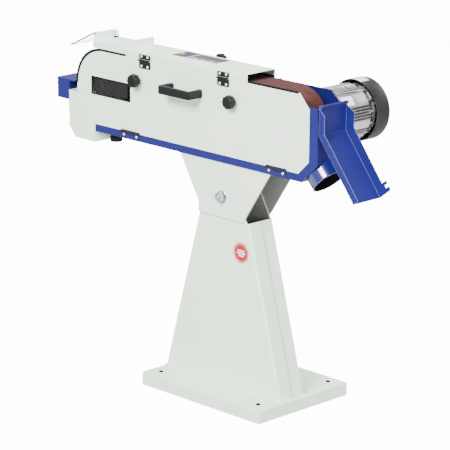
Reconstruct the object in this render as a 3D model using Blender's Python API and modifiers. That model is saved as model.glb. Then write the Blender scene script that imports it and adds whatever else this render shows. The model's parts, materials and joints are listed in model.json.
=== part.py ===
"""Two-wheel belt grinder on a pedestal: CAD model for Blender 4.5.

Frame: +Z up, -X the contact-wheel end where the work is ground, +X the drive-drum end,
-Y the door side, +Y the motor side. The origin is the middle of the base, on the floor.
Sizes below are in millimetres; the helpers turn them into metres.
"""
import math

import bmesh
import bpy
from mathutils import Matrix, Vector

MM = 0.001
GAP = 0.3

# Driving sizes
BELT_WIDTH, BELT_THICK = 75.0, 1.2
WHEEL_R = 100.0
WHEEL_SPACING = 686.0
DRUM_X, AXIS_Z = 202.0, 792.0
WHEEL_X = DRUM_X - WHEEL_SPACING
BELT_BACK = -2.0
BELT_FRONT = BELT_BACK - BELT_WIDTH

BASE_LENGTH, BASE_WIDTH, BASE_HEIGHT, BASE_WALL = 454.0, 346.0, 38.0, 4.0
BOLT_INSET_X, BOLT_INSET_Y, BOLT_HOLE_R = 39.5, 36.5, 6.0

PIVOT_X, PIVOT_Z = -3.0, 566.0
COLUMN_FRONT, COLUMN_BACK = -82.5, 9.5
COLUMN_MID = (COLUMN_FRONT + COLUMN_BACK) / 2
COLUMN_FOOT_HALF, COLUMN_NECK_HALF = 221.5, 93.5
COLUMN_NECK_Z, COLUMN_WALL = 506.0, 3.0

FRONT = -93.0                      # outer face of the door
SHEET = 1.5
FRAME_BOTTOM, FRAME_RIGHT = 660.0, 343.5
FRAME_WALL, FRAME_LIP = 3.0, 2.5
LIP_FRONT = FRONT + SHEET + GAP
BACK_PLATE_FRONT, BACK_PLATE_BACK = 7.0, 10.0
COVER_BACK = 12.0
DOOR_BOTTOM, DOOR_TOP, DOOR_RIGHT = 681.5, 895.0, 315.5
COVER_TOP = 914.5
COVER_LEFT, COVER_RIGHT = -376.0, 91.6
BOX_LEFT, BOX_RIGHT, BOX_TOP, BOX_BOTTOM = -614.0, -505.0, 762.0, 629.0

DOOR_PIVOT = (FRONT - 2.2, 680.5)          # (y, z) of the door's lower hinge line
COVER_PIVOT = (FRONT - 3.5, 891.5)         # (y, z) of the cover's hinge line
GUARD_PIVOT = (351.0, 868.0)               # (x, z) of the rear guard's barrel
VISOR_PIVOT = (-510.2, 937.0)
LEVER_PIVOT = (-300.0, AXIS_Z)
KNOB_Z = 834.0
KNOB_XS = {"left": -327.0, "right": 41.0}
COVER_KNOB = (-130.0, 902.0)
TRACKING = (-474.0, -40.0)
MOTOR_FRONT, MOTOR_BACK = 20.3, 206.0
MOTOR_BORE_R = 56.0
SHAFT_R = 12.0

WHITE = ("painted_white", (0.78, 0.82, 0.77), 0.45, 0.0)
BLUE = ("painted_blue", (0.03, 0.06, 0.40), 0.40, 0.0)
BLACK = ("black_plastic", (0.02, 0.02, 0.02), 0.55, 0.0)
BLACK_STEEL = ("black_steel", (0.03, 0.03, 0.03), 0.45, 0.6)
ZINC = ("zinc_plate", (0.70, 0.72, 0.72), 0.30, 1.0)
STEEL = ("bright_steel", (0.60, 0.60, 0.60), 0.35, 1.0)
ALUMINIUM = ("cast_aluminium", (0.72, 0.73, 0.72), 0.45, 1.0)
GREY_COVER = ("dark_grey_paint", (0.07, 0.07, 0.075), 0.45, 0.2)
ABRASIVE = ("abrasive_belt", (0.28, 0.09, 0.07), 0.95, 0.0)
RUBBER = ("rubber", (0.02, 0.02, 0.02), 0.85, 0.0)
CLEAR = ("clear_sheet", (0.85, 0.90, 0.90), 0.08, 0.0)
GREEN = ("green_plastic", (0.02, 0.30, 0.06), 0.40, 0.0)
RED = ("red_plastic", (0.45, 0.02, 0.02), 0.40, 0.0)
GRAPHITE = ("graphite_cloth", (0.05, 0.05, 0.055), 0.80, 0.0)

PLANES = {
    # local x, local y and the extrusion run along these world axes
    "XZ": Matrix(((1, 0, 0, 0), (0, 0, -1, 0), (0, 1, 0, 0), (0, 0, 0, 1))),
    "YZ": Matrix(((0, 0, 1, 0), (1, 0, 0, 0), (0, 1, 0, 0), (0, 0, 0, 1))),
    "XY": Matrix.Identity(4),
}
EXTRUDE_AXIS = {"XZ": 1, "YZ": 0, "XY": 2}


# Scene and collections ---------------------------------------------------

def clear_scene():
    for obj in list(bpy.data.objects):
        bpy.data.objects.remove(obj, do_unlink=True)


def make_collection(name):
    collection = bpy.data.collections.new(name)
    bpy.context.scene.collection.children.link(collection)
    return collection


def get_material(spec):
    name, colour, roughness, metallic = spec
    material = bpy.data.materials.get(name)
    if material is None:
        material = bpy.data.materials.new(name)
        material.use_nodes = True
        shader = material.node_tree.nodes["Principled BSDF"]
        shader.inputs["Base Color"].default_value = (*colour, 1.0)
        shader.inputs["Roughness"].default_value = roughness
        shader.inputs["Metallic"].default_value = metallic
    return material


# Shape helpers -----------------------------------------------------------

def link_mesh(name, bm):
    """Turn a bmesh into an object in the parts collection."""
    mesh = bpy.data.meshes.new(name)
    bm.to_mesh(mesh)
    bm.free()
    obj = bpy.data.objects.new(name, mesh)
    PARTS.objects.link(obj)
    return obj


def as_tool(obj):
    """Make an object a Boolean operand that is not a part of its own."""
    PARTS.objects.unlink(obj)
    CUTTERS.objects.link(obj)
    obj.hide_render = True
    obj.display_type = "WIRE"
    return obj


def boolean(obj, operation, tools):
    for tool in tools:
        modifier = obj.modifiers.new(operation.title(), "BOOLEAN")
        modifier.operation = operation
        modifier.solver = "EXACT"
        modifier.object = as_tool(tool)
    return obj


def cut(obj, *tools):
    return boolean(obj, "DIFFERENCE", tools)


def join(obj, *tools):
    return boolean(obj, "UNION", tools)


def box(name, low, high):
    """An upright block between two corners."""
    low, high = Vector(low) * MM, Vector(high) * MM
    bm = bmesh.new()
    bmesh.ops.create_cube(bm, size=1.0)
    bmesh.ops.scale(bm, vec=high - low, verts=bm.verts)
    bmesh.ops.translate(bm, vec=(low + high) / 2, verts=bm.verts)
    return link_mesh(name, bm)


def rod(name, start, end, radius, sides=32):
    """A round bar between two points."""
    start, end = Vector(start) * MM, Vector(end) * MM
    axis = end - start
    turn = Vector((0, 0, 1)).rotation_difference(axis).to_matrix().to_4x4()
    bm = bmesh.new()
    bmesh.ops.create_cone(bm, cap_ends=True, segments=sides, radius1=radius * MM,
                          radius2=radius * MM, depth=axis.length,
                          matrix=Matrix.Translation((start + end) / 2) @ turn)
    obj = link_mesh(name, bm)
    obj.data.shade_smooth()
    obj.data.set_sharp_from_angle(angle=math.radians(40))
    return obj


def prism(name, outline, low, high, plane="XZ", holes=()):
    """A flat outline, with holes, carried from low to high across its plane."""
    curve = bpy.data.curves.new(name, "CURVE")
    curve.dimensions = "2D"
    curve.fill_mode = "BOTH"
    curve.extrude = (high - low) / 2 * MM
    for loop in (outline, *holes):
        spline = curve.splines.new("POLY")
        spline.points.add(len(loop) - 1)
        for point, (across, up) in zip(spline.points, loop):
            point.co = (across * MM, up * MM, 0, 1)
        spline.use_cyclic_u = True
    middle = Vector((0, 0, 0))
    middle[EXTRUDE_AXIS[plane]] = (low + high) / 2 * MM
    guide = bpy.data.objects.new(name + "_outline", curve)
    CUTTERS.objects.link(guide)
    mesh = bpy.data.meshes.new_from_object(guide.evaluated_get(bpy.context.evaluated_depsgraph_get()))
    bpy.data.objects.remove(guide)
    bm = bmesh.new()
    bm.from_mesh(mesh)
    bpy.data.meshes.remove(mesh)
    bmesh.ops.remove_doubles(bm, verts=bm.verts, dist=1e-6)
    bmesh.ops.transform(bm, matrix=Matrix.Translation(middle) @ PLANES[plane], verts=bm.verts)
    bmesh.ops.recalc_face_normals(bm, faces=bm.faces)
    return link_mesh(name, bm)


def turned(name, profile, centre, steps=48):
    """Turn a profile of (radius, y) about the line along Y through centre (x, z).

    The profile runs along its outer side towards +Y; points on the axis close it.
    """
    bm = bmesh.new()
    points = [bm.verts.new((radius * MM, 0, -along * MM)) for radius, along in profile]
    for first, second in zip(points, points[1:]):
        bm.edges.new((first, second))
    if profile[0][0] > 0:
        bm.edges.new((points[-1], points[0]))
    obj = link_mesh(name, bm)
    screw = obj.modifiers.new("Screw", "SCREW")
    screw.steps = screw.render_steps = steps
    screw.use_merge_vertices = True
    screw.merge_threshold = 0.00001
    obj.rotation_euler = (math.pi / 2, 0, 0)
    obj.location = (centre[0] * MM, 0, centre[1] * MM)
    return obj


def arc(centre, radius, start, end, steps):
    """Points round an arc, angles in degrees from the first axis to the second."""
    angles = [math.radians(start + (end - start) * i / steps) for i in range(steps + 1)]
    return [(centre[0] + radius * math.cos(a), centre[1] + radius * math.sin(a)) for a in angles]


def circle(centre, radius, steps=24):
    return arc(centre, radius, 0, 360, steps)[:-1]


def bent(points, thick):
    """The closed outline of a folded strip: the line and its parallel on the left."""
    lines = []
    for (x0, z0), (x1, z1) in zip(points, points[1:]):
        length = math.hypot(x1 - x0, z1 - z0)
        dx, dz = (x1 - x0) / length, (z1 - z0) / length
        lines.append((x0 - dz * thick, z0 + dx * thick, dx, dz))
    inner = [(lines[0][0], lines[0][1])]
    for (ax, az, adx, adz), (bx, bz, bdx, bdz) in zip(lines, lines[1:]):
        along = ((bx - ax) * bdz - (bz - az) * bdx) / (adx * bdz - adz * bdx)
        inner.append((ax + adx * along, az + adz * along))
    last = points[-1]
    inner.append((last[0] - lines[-1][3] * thick, last[1] + lines[-1][2] * thick))
    return list(points) + inner[::-1]


def hexagon(centre, across_flats):
    corner = across_flats / math.sqrt(3)
    return arc(centre, corner, 30, 390, 6)[:-1]


def toothed(centre, root, tip, count, tooth_share, skip=lambda angle: False):
    """A round outline with square ribs; skip says where it stays smooth."""
    outline = []
    pitch = 360 / count
    for i in range(count):
        angle = i * pitch
        if skip(angle):
            outline += arc(centre, root, angle - pitch / 4, angle + pitch / 4, 1)
            continue
        half = pitch * tooth_share / 2
        for radius, offset in ((root, -half), (tip, -half), (tip, half), (root, half)):
            outline += arc(centre, radius, angle + offset, angle + offset, 1)[:1]
    return outline


def carry(pivot_name, place, objects):
    """Parent pieces to an empty that stands on their joint's axis."""
    empty = bpy.data.objects.new(pivot_name, None)
    empty.empty_display_size = 0.05
    empty.location = Vector(place) * MM
    PARTS.objects.link(empty)
    for obj in objects:
        obj.parent = empty
        obj.matrix_parent_inverse = Matrix.Translation(-empty.location)


def paint(spec, *objects):
    for obj in objects:
        obj.data.materials.clear()
        obj.data.materials.append(get_material(spec))


# Stand -------------------------------------------------------------------

def column_half_at(height):
    """Half the column's width at a height."""
    share = (height - BASE_HEIGHT) / (COLUMN_NECK_Z - BASE_HEIGHT)
    return COLUMN_FOOT_HALF + (COLUMN_NECK_HALF - COLUMN_FOOT_HALF) * share


def base_plate():
    half_x, half_y = BASE_LENGTH / 2, BASE_WIDTH / 2
    tray = box("base_plate", (-half_x, -half_y, 0), (half_x, half_y, BASE_HEIGHT))
    bevel = tray.modifiers.new("Bevel", "BEVEL")
    bevel.width = 2.0 * MM
    bevel.segments = 1
    inner_x, inner_y = half_x - BASE_WALL, half_y - BASE_WALL
    cut(tray, box("base_hollow", (-inner_x, -inner_y, -5), (inner_x, inner_y, BASE_HEIGHT - BASE_WALL)))
    for x in (-half_x + BOLT_INSET_X, half_x - BOLT_INSET_X):
        for y in (-half_y + BOLT_INSET_Y, half_y - BOLT_INSET_Y):
            cut(tray, rod("base_bolt_hole", (x, y, 20), (x, y, 60), BOLT_HOLE_R, 16))
    channel_x = inner_x - GAP
    top = BASE_HEIGHT - BASE_WALL - GAP
    channel = prism("base_stiffener", [(-40, 0), (40, 0), (40, top), (36, top), (36, 4), (-36, 4),
                                       (-36, top), (-40, top)], -channel_x, channel_x, "YZ")
    paint(WHITE, tray, channel)


def column_shell(name, outer_y, inner_y):
    """One half of the column: a tapered channel with an ear that holds the pivot."""
    low, high = sorted((outer_y, inner_y))
    foot = BASE_HEIGHT + GAP

    def taper(inset, bottom, top):
        wide, narrow = column_half_at(bottom) - inset, column_half_at(top) - inset
        return [(PIVOT_X - wide, bottom), (PIVOT_X + wide, bottom),
                (PIVOT_X + narrow, top), (PIVOT_X - narrow, top)]

    shell = prism(name, taper(0, foot, COLUMN_NECK_Z), low, high)
    wall = COLUMN_WALL if outer_y < inner_y else -COLUMN_WALL
    skin = sorted((outer_y + wall, inner_y + wall))
    cut(shell, prism(name + "_hollow", taper(COLUMN_WALL * 1.04, 20, 560), *skin))
    shoulder, neck, top = 88, 52, 30
    ear = [(PIVOT_X - shoulder, COLUMN_NECK_Z - 8), (PIVOT_X + shoulder, COLUMN_NECK_Z - 8),
           (PIVOT_X + shoulder, COLUMN_NECK_Z), (PIVOT_X + neck, PIVOT_Z + 3), (PIVOT_X + top, PIVOT_Z + 34),
           (PIVOT_X - top, PIVOT_Z + 34), (PIVOT_X - neck, PIVOT_Z + 3), (PIVOT_X - shoulder, COLUMN_NECK_Z)]
    join(shell, prism(name + "_ear", ear, *sorted((outer_y, outer_y + wall))))
    cut(shell, rod(name + "_bore", (PIVOT_X, low - 5, PIVOT_Z), (PIVOT_X, high + 5, PIVOT_Z), 8.6, 24))
    paint(WHITE, shell)


def pivot_fasteners():
    centre = (PIVOT_X, PIVOT_Z)
    front, back = COLUMN_FRONT - 5.5, COLUMN_BACK + 5.5
    sleeve = prism("pivot_sleeve", circle(centre, 14), COLUMN_FRONT + COLUMN_WALL + GAP,
                   COLUMN_BACK - COLUMN_WALL - GAP, holes=[circle(centre, 8.4)])
    front_washer = prism("pivot_washer_front", circle(centre, 17), front - 3 - GAP, front - GAP,
                         holes=[circle(centre, 8.4)])
    back_washer = prism("pivot_washer_back", circle(centre, 17), back + GAP, back + 3 + GAP,
                        holes=[circle(centre, 8.4)])
    nut = prism("pivot_nut", hexagon(centre, 24), front - 16.6, front - 3.6, holes=[circle(centre, 8.4)])
    bolt = rod("pivot_bolt", (PIVOT_X, front - 20, PIVOT_Z), (PIVOT_X, back + 5, PIVOT_Z), 8, 24)
    join(bolt, prism("pivot_bolt_head", hexagon(centre, 24), back + 3.6, back + 13.6))
    paint(ZINC, sleeve, front_washer, back_washer, nut, bolt)


# Head frame --------------------------------------------------------------

def pivot_bracket():
    """A folded saddle: front, back and left walls and a top plate under the frame."""
    front, back = COLUMN_FRONT - 5.5, COLUMN_BACK + 5.5
    plate = 5.0
    top = FRAME_BOTTOM - GAP
    lean = (168 - 96) / (top - 537)
    outline = [(-168, top), (-96, 537), (-96, 508), (74, 508), (86, 524), (175, top)]
    bracket = prism("pivot_bracket", outline, front, back)
    web = 4.64
    inner_top = top - plate
    inside = [(-168 + lean * plate + web, inner_top), (-96 + web * 0.86, 538), (-96 + web * 0.86, 400),
              (300, 400), (300, inner_top)]
    cut(bracket, prism("bracket_hollow", inside, front + plate, back - plate))
    cut(bracket, rod("bracket_bore", (PIVOT_X, front - 5, PIVOT_Z), (PIVOT_X, back + 5, PIVOT_Z), 8.6, 24))
    paint(WHITE, bracket)
    return [bracket]


def frame_shell():
    """Bottom, chamfer and end wall as one band, with lips along its front edge."""
    left = BOX_RIGHT + 0.5
    corner = FRAME_RIGHT - 53.5
    top = 862.0
    line = [(left, FRAME_BOTTOM), (corner, FRAME_BOTTOM), (FRAME_RIGHT, FRAME_BOTTOM + 52.5),
            (FRAME_RIGHT, top)]
    band = prism("frame_shell", bent(line, FRAME_WALL), LIP_FRONT + 1, BACK_PLATE_FRONT - GAP)
    lip = line + [(DOOR_RIGHT - 6, top), (DOOR_RIGHT - 6, 719), (278, DOOR_BOTTOM + 6),
                  (left, DOOR_BOTTOM + 6)]
    join(band, prism("frame_lip", lip, LIP_FRONT, LIP_FRONT + FRAME_LIP))
    start, mouth = nozzle_line()
    cut(band, rod("dust_opening", start, mouth, 44))
    cut(band, rod("tracking_hole", (*TRACKING, 640), (*TRACKING, 670), 5.0, 16))
    paint(BLUE, band)
    return [band]


def nozzle_line():
    """Start (inside the frame) and mouth centre of the dust nozzle."""
    mouth = Vector((341, -41, 664))
    return mouth - 90 * Vector((0.695, 0, -0.719)), mouth


def dust_nozzle():
    start, mouth = nozzle_line()
    along = (mouth - start).normalized()
    tube = rod("dust_nozzle", mouth - 80 * along, mouth, 47, 40)
    cut(tube, rod("nozzle_bore", mouth - 100 * along, mouth + 10 * along, 45, 40))
    keep_out = [(100, FRAME_BOTTOM - GAP), (FRAME_RIGHT - 53.4, FRAME_BOTTOM - GAP),
                (FRAME_RIGHT + GAP, FRAME_BOTTOM + 52.4), (FRAME_RIGHT + GAP, 900), (100, 900)]
    cut(tube, prism("nozzle_trim", keep_out, -200, 100))
    paint(BLUE, tube)
    return [tube]


def frame_back_plate():
    outline = [(BOX_RIGHT + 0.5, FRAME_BOTTOM), (FRAME_RIGHT - 53.5, FRAME_BOTTOM),
               (FRAME_RIGHT, FRAME_BOTTOM + 52.5), (FRAME_RIGHT, 852), (296.5, 891.5), (-530, 891.5),
               (-575, 830), (-575, BOX_TOP + 3), (BOX_RIGHT + 0.5, BOX_TOP + 3)]
    plate = prism("frame_back_plate", outline, BACK_PLATE_FRONT, BACK_PLATE_BACK,
                  holes=[circle((DRUM_X, AXIS_Z), 20)])
    join(plate, rod("guard_latch_pin", (109.4, 8, 889), (109.4, 17, 889), 3.5, 12))
    paint(BLUE, plate)
    return [plate]


def platen():
    top = AXIS_Z + WHEEL_R - 0.1
    pad = box("platen", (-370, BELT_FRONT - 1, top - 6), (60, BELT_BACK + 1, top))
    under = top - 6 - GAP
    profile = [(BELT_FRONT + 7, under), (BELT_FRONT + 7, under - 6), (0.5, under - 6), (0.5, 840),
               (BACK_PLATE_FRONT - GAP, 840), (BACK_PLATE_FRONT - GAP, under)]
    bracket = prism("platen_bracket", profile[::-1], -300, 0, "YZ")
    paint(GRAPHITE, pad)
    paint(STEEL, bracket)
    return [pad, bracket]


def knob_posts():
    posts = []
    for side, x in KNOB_XS.items():
        post = rod("knob_post_" + side, (x, -85.7, KNOB_Z), (x, BACK_PLATE_FRONT - GAP, KNOB_Z), 9, 20)
        paint(ZINC, post)
        posts.append(post)
    return posts


def sanding_belt():
    """A thin loop: two half circles and two straight runs."""
    inner = WHEEL_R + GAP

    def loop(radius):
        return (arc((DRUM_X, AXIS_Z), radius, -90, 90, 32) +
                arc((WHEEL_X, AXIS_Z), radius, 90, 270, 32))

    belt = prism("sanding_belt", loop(inner + BELT_THICK), BELT_FRONT, BELT_BACK, holes=[loop(inner)])
    paint(ABRASIVE, belt)
    return [belt]


def spark_box():
    """Catches sparks below the contact wheel; open above, with a rim at its outer edge."""
    outline = [(BOX_LEFT, BOX_TOP), (BOX_LEFT, 659), (BOX_LEFT + 26, BOX_BOTTOM), (BOX_RIGHT, BOX_BOTTOM),
               (BOX_RIGHT, BOX_TOP)]
    body = prism("spark_box", outline, FRONT, COVER_BACK)
    wall = 2.0
    hollow = [(BOX_LEFT + 24, 800), (BOX_LEFT + 24, BOX_TOP - wall), (BOX_LEFT + wall, BOX_TOP - wall),
              (BOX_LEFT + wall, 660), (BOX_LEFT + 27, BOX_BOTTOM + wall), (BOX_RIGHT - wall, BOX_BOTTOM + wall),
              (BOX_RIGHT - wall, 684), (BOX_RIGHT + 5, 684), (BOX_RIGHT + 5, 800)]
    cut(body, prism("spark_box_hollow", hollow, FRONT + SHEET, COVER_BACK - SHEET))
    paint(WHITE, body)
    return [body]


def work_rest():
    """A table in front of the contact wheel, on a plate bolted to the spark box."""
    top = 791.0
    table = box("work_rest", (-667, -91, top - 4), (-590, COVER_BACK, top))
    join(table, box("rest_front_web", (-664, -91, 733), (-BOX_LEFT * -1 - GAP - 0.1, -88, top - 2)),
         box("rest_back_web", (-664, 9, 733), (BOX_LEFT - GAP - 0.1, COVER_BACK, top - 2)),
         box("rest_mount", (BOX_LEFT - 3 - GAP, -90, 700), (BOX_LEFT - GAP, COVER_BACK - 1, top - 1)))
    paint(BLUE, table)
    return [table]


def wheel_hood():
    line = [(FRONT, 898), (FRONT, COVER_TOP), (COVER_BACK, COVER_TOP), (COVER_BACK, 878)]
    hood = prism("wheel_hood", bent(line, -SHEET), -511, COVER_LEFT - 0.4, "YZ")
    paint(WHITE, hood)
    return [hood]


def visor_bracket():
    x, z = VISOR_PIVOT
    line = [(x + 16, COVER_TOP + GAP), (x - 0.7, COVER_TOP + GAP), (x - 0.7, z)]
    bracket = prism("visor_bracket", bent(line, -SHEET), -90, -12)
    join(bracket, rod("visor_rod", (x, -91, z), (x, -11, z), 2.0, 12))
    paint(ZINC, bracket)
    return [bracket]


def door_hinges():
    """Frame halves of the two lower door hinges: a leaf and its barrel."""
    y, z = DOOR_PIVOT
    hinges = []
    for side, x in (("left", -359.0), ("right", 200.0)):
        leaf = box("door_hinge_" + side, (x - 37, LIP_FRONT - 2 - GAP, 663), (x + 37, LIP_FRONT - GAP, z - 1))
        join(leaf, rod("hinge_barrel", (x - 37, y, z), (x + 37, y, z), 3.4, 12))
        paint(BLACK_STEEL, leaf)
        hinges.append(leaf)
    return hinges


# Motor and drum ----------------------------------------------------------

def motor_fixed_parts():
    centre = (DRUM_X, AXIS_Z)
    flange = prism("motor_flange", circle(centre, 80, 48), BACK_PLATE_BACK + GAP, MOTOR_FRONT - GAP,
                   holes=[circle(centre, 15)])

    def pads(angle):
        return any(abs((angle - side + 180) % 360 - 180) < 17 for side in (0, 90, 180, 270))

    housing = prism("motor_housing", toothed(centre, 70, 77, 60, 0.42, pads), MOTOR_FRONT, MOTOR_BACK,
                    holes=[circle(centre, MOTOR_BORE_R, 40)])
    stator = prism("stator_core", circle(centre, MOTOR_BORE_R - 0.4, 40), 55, 165,
                   holes=[circle(centre, 32.5, 32)])
    shield = prism("motor_end_shield", circle(centre, 70, 40), MOTOR_BACK + GAP, MOTOR_BACK + 8,
                   holes=[circle(centre, 15)])
    cover = turned("fan_cover", [(0, 254), (80, 254), (83, 251), (83, 201), (85, 201), (85, 252), (81, 256),
                                 (0, 256)], centre)
    paint(ALUMINIUM, flange, housing, shield)
    paint(BLACK_STEEL, stator)
    paint(GREY_COVER, cover)
    return [flange, housing, stator, shield, cover]


def motor_turning_parts():
    centre = (DRUM_X, AXIS_Z)
    shaft = turned("motor_shaft", [(0, -74), (SHAFT_R, -74), (SHAFT_R, 60), (31.5, 60), (31.5, 160),
                                   (SHAFT_R, 160), (SHAFT_R, 244), (0, 244)], centre, 32)
    bore = SHAFT_R + GAP
    rim, web, hub = 91.0, 8.0, 28.0
    middle = (BELT_FRONT + BELT_BACK) / 2
    drum = turned("drive_drum", [(WHEEL_R, BELT_FRONT), (WHEEL_R, BELT_BACK), (rim, BELT_BACK),
                                 (rim, middle + web / 2), (hub, middle + web / 2), (hub, BELT_BACK - 4),
                                 (bore, BELT_BACK - 4), (bore, BELT_FRONT + 4), (hub, BELT_FRONT + 4),
                                 (hub, middle - web / 2), (rim, middle - web / 2), (rim, BELT_FRONT)],
                  centre, 64)
    fan = prism("cooling_fan", toothed(centre, 24, 74, 8, 0.22), 218, 240,
                holes=[circle(centre, bore + 0.2, 20)])
    screw = rod("drum_screw", (DRUM_X, -80, AXIS_Z), (DRUM_X, -74 - GAP, AXIS_Z), 10, 20)
    paint(STEEL, shaft)
    paint(ALUMINIUM, drum)
    paint(BLACK, fan)
    paint(ZINC, screw)
    return [shaft, drum, fan, screw]


def switch_box():
    """Starter box on the motor's hidden side, with its two buttons and the cable gland."""
    right = DRUM_X - 77.5
    left = right - 46
    case = box("switch_box", (left, 60, 748), (right, 140, 836))
    gland = prism("cable_gland", hexagon((left + 22, 100), 22), 735, 748 - GAP, "XY",
                  holes=[circle((left + 22, 100), 6, 16)])
    paint(BLACK, case, gland)
    buttons = []
    for name, z, spec in (("start_button", 812, GREEN), ("stop_button", 772, RED)):
        cut(case, rod(name + "_well", (left - 1, 100, z), (left + 12, 100, z), 12.5, 20))
        button = rod(name, (left - 6, 100, z), (left + 5, 100, z), 12, 20)
        paint(spec, button)
        buttons.append((button, (left, 100, z)))
    return [case, gland], buttons


# Contact wheel and its fork ------------------------------------------------

def contact_wheel():
    centre = (WHEEL_X, AXIS_Z)
    tyre_inner = 86.0
    tyre = prism("contact_wheel_tyre", circle(centre, WHEEL_R, 64), BELT_FRONT, BELT_BACK,
                 holes=[circle(centre, tyre_inner, 64)])
    outer, rim, web, hub, seat, bore = tyre_inner - 0.5, 76.0, 8.0, 27.0, 17.8, 13.0
    middle = (BELT_FRONT + BELT_BACK) / 2
    front, back = BELT_FRONT + 1, BELT_BACK - 1
    hub_part = turned("contact_wheel_hub", [
        (outer, front), (outer, back), (rim, back), (rim, middle + web / 2), (hub, middle + web / 2),
        (hub, back - 2), (seat, back - 2), (seat, back - 15), (bore, back - 15), (bore, front + 15),
        (seat, front + 15), (seat, front + 2), (hub, front + 2), (hub, middle - web / 2),
        (rim, middle - web / 2), (rim, front)], centre, 48)
    bearings = []
    for side, start in (("front", front + 2.5), ("back", back - 14.5)):
        bearing = prism("wheel_bearing_" + side, circle(centre, seat - 0.4), start, start + 12,
                        holes=[circle(centre, 10.4)])
        bearings.append(bearing)
    paint(RUBBER, tyre)
    paint(ALUMINIUM, hub_part)
    paint(STEEL, *bearings)
    return [tyre, hub_part, *bearings]


def wheel_fork():
    """Two cheeks and a bridge round the wheel, with a square slide bar behind the bridge."""
    front, back, thick = FRONT + SHEET + 1.5, BACK_PLATE_FRONT - 0.4, 6.0
    left, right = -511.0, -374.0
    outline = [(left, front), (right, front), (right, back), (left, back), (left, back - thick),
               (right - thick, back - thick), (right - thick, front + thick), (left, front + thick)]
    fork = prism("wheel_fork", outline, 772, 812, "XY")
    join(fork, box("fork_bar", (right - 2, -52, 782), (-262, -32, 802)))
    cut(fork, rod("fork_bore", (WHEEL_X, -110, AXIS_Z), (WHEEL_X, 30, AXIS_Z), 10.4, 24))
    axle = rod("wheel_axle", (WHEEL_X, front - 0.5, AXIS_Z), (WHEEL_X, back, AXIS_Z), 10, 24)
    paint(BLACK_STEEL, fork)
    paint(STEEL, axle)
    return [fork, axle]


def fork_guide():
    block = box("fork_guide_block", (-322, -64, 768), (-282, BACK_PLATE_FRONT - GAP, 816))
    cut(block, box("guide_slot", (-340, -52.5, 781.5), (-270, -31.5, 802.5)))
    centre = (-42, AXIS_Z)
    spring = prism("tension_spring", circle(centre, 18, 20), -363.5, -322.5, "YZ",
                   holes=[circle(centre, 14.8, 20)])
    paint(BLACK_STEEL, block)
    paint(STEEL, spring)
    return [block, spring]


def tension_lever():
    x, z = LEVER_PIVOT
    lever = box("tension_lever", (x - 7, -72, z - 7), (x + 74, -66, z + 7))
    join(lever, rod("lever_boss", (x, -73, z), (x, -64 - GAP, z), 7.5, 20))
    paint(BLACK_STEEL, lever)
    return [lever]


def tracking_knob():
    knob = rod("tracking_knob", (*TRACKING, 628), (*TRACKING, 645), 17.5, 24)
    join(knob, rod("tracking_screw", (*TRACKING, 640), (*TRACKING, 682), 4, 12))
    paint(BLACK, knob)
    return [knob]


# Door, covers and guards -----------------------------------------------------

def door_panel():
    """The front door: rounded round the contact wheel, cut off at its right corners."""
    corner = arc((-478, DOOR_TOP - WHEEL_R), WHEEL_R, 90, 180, 20)
    outline = corner + [(-578, BOX_TOP + 0.5), (BOX_RIGHT + 0.7, BOX_TOP + 0.5),
                        (BOX_RIGHT + 0.7, DOOR_BOTTOM)]
    for x in (-359.0, 200.0):
        outline += [(x - 38, DOOR_BOTTOM), (x - 38, 686), (x + 38, 686), (x + 38, DOOR_BOTTOM)]
    outline += [(279, DOOR_BOTTOM), (DOOR_RIGHT, 718), (DOOR_RIGHT, 857), (281, DOOR_TOP)]
    window = [(-517, 767), (-360, 767), (-360, 816), (-517, 816)]
    studs = [circle((x, KNOB_Z), 5.2, 16) for x in KNOB_XS.values()]
    panel = prism("door_panel", outline, FRONT, FRONT + SHEET, holes=[window, *studs])
    paint(WHITE, panel)
    return [panel]


def door_handle():
    left, right, depth, thick = -200.0, -77.0, 50.0, 11.0
    face, out = FRONT - GAP, FRONT - GAP - depth
    outline = [(left, face), (left, out + 6), (left + 6, out), (right - 6, out), (right, out + 6),
               (right, face), (right - thick, face), (right - thick, out + thick),
               (left + thick, out + thick), (left + thick, face)]
    handle = prism("door_handle", outline, 826, 845, "XY")
    paint(BLACK, handle)
    return [handle]


def cover_hinge_bases():
    y, z = COVER_PIVOT
    bases = []
    for side, x in (("left", -299.0), ("right", 3.5)):
        leaf = box("cover_hinge_base_" + side, (x - 22, FRONT - 2.3, 869), (x + 22, FRONT - GAP, z - 2))
        join(leaf, rod("base_barrel", (x - 22, y, z), (x + 22, y, z), 3.0, 12))
        paint(BLACK, leaf)
        bases.append(leaf)
    return bases


def star_knob(name, x, z, face, direction):
    """A hand knob on a captive stud through a sheet; direction is -1 for the front."""
    head = rod(name, (x, face + direction * 8, z), (x, face + direction * 28, z), 19, 24)
    join(head, rod(name + "_boss", (x, face + direction * GAP, z), (x, face + direction * 12, z), 9, 20),
         rod(name + "_stud", (x, face - direction * 7, z), (x, face + direction * 4, z), 4.4, 16))
    paint(BLACK, head)
    return head


def top_cover():
    line = [(FRONT, DOOR_TOP + 0.5), (FRONT, COVER_TOP), (COVER_BACK, COVER_TOP), (COVER_BACK, 893)]
    cover = prism("top_cover", bent(line, -SHEET), COVER_LEFT, COVER_RIGHT, "YZ",)
    join(cover, box("cover_lip", (COVER_LEFT, -90, COVER_TOP - 1), (COVER_LEFT + SHEET, COVER_BACK, 934)))
    x, z = COVER_KNOB
    cut(cover, rod("cover_stud_hole", (x, 0, z), (x, 20, z), 5.2, 16))
    leaves = []
    for side, x in (("left", -299.0), ("right", 3.5)):
        leaves.append(box("cover_hinge_leaf_" + side, (x - 22, FRONT - 2.3, COVER_PIVOT[1] + 3.7),
                          (x + 22, FRONT - GAP, 908)))
    paint(WHITE, cover)
    paint(BLACK, *leaves)
    return [cover, *leaves]


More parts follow.
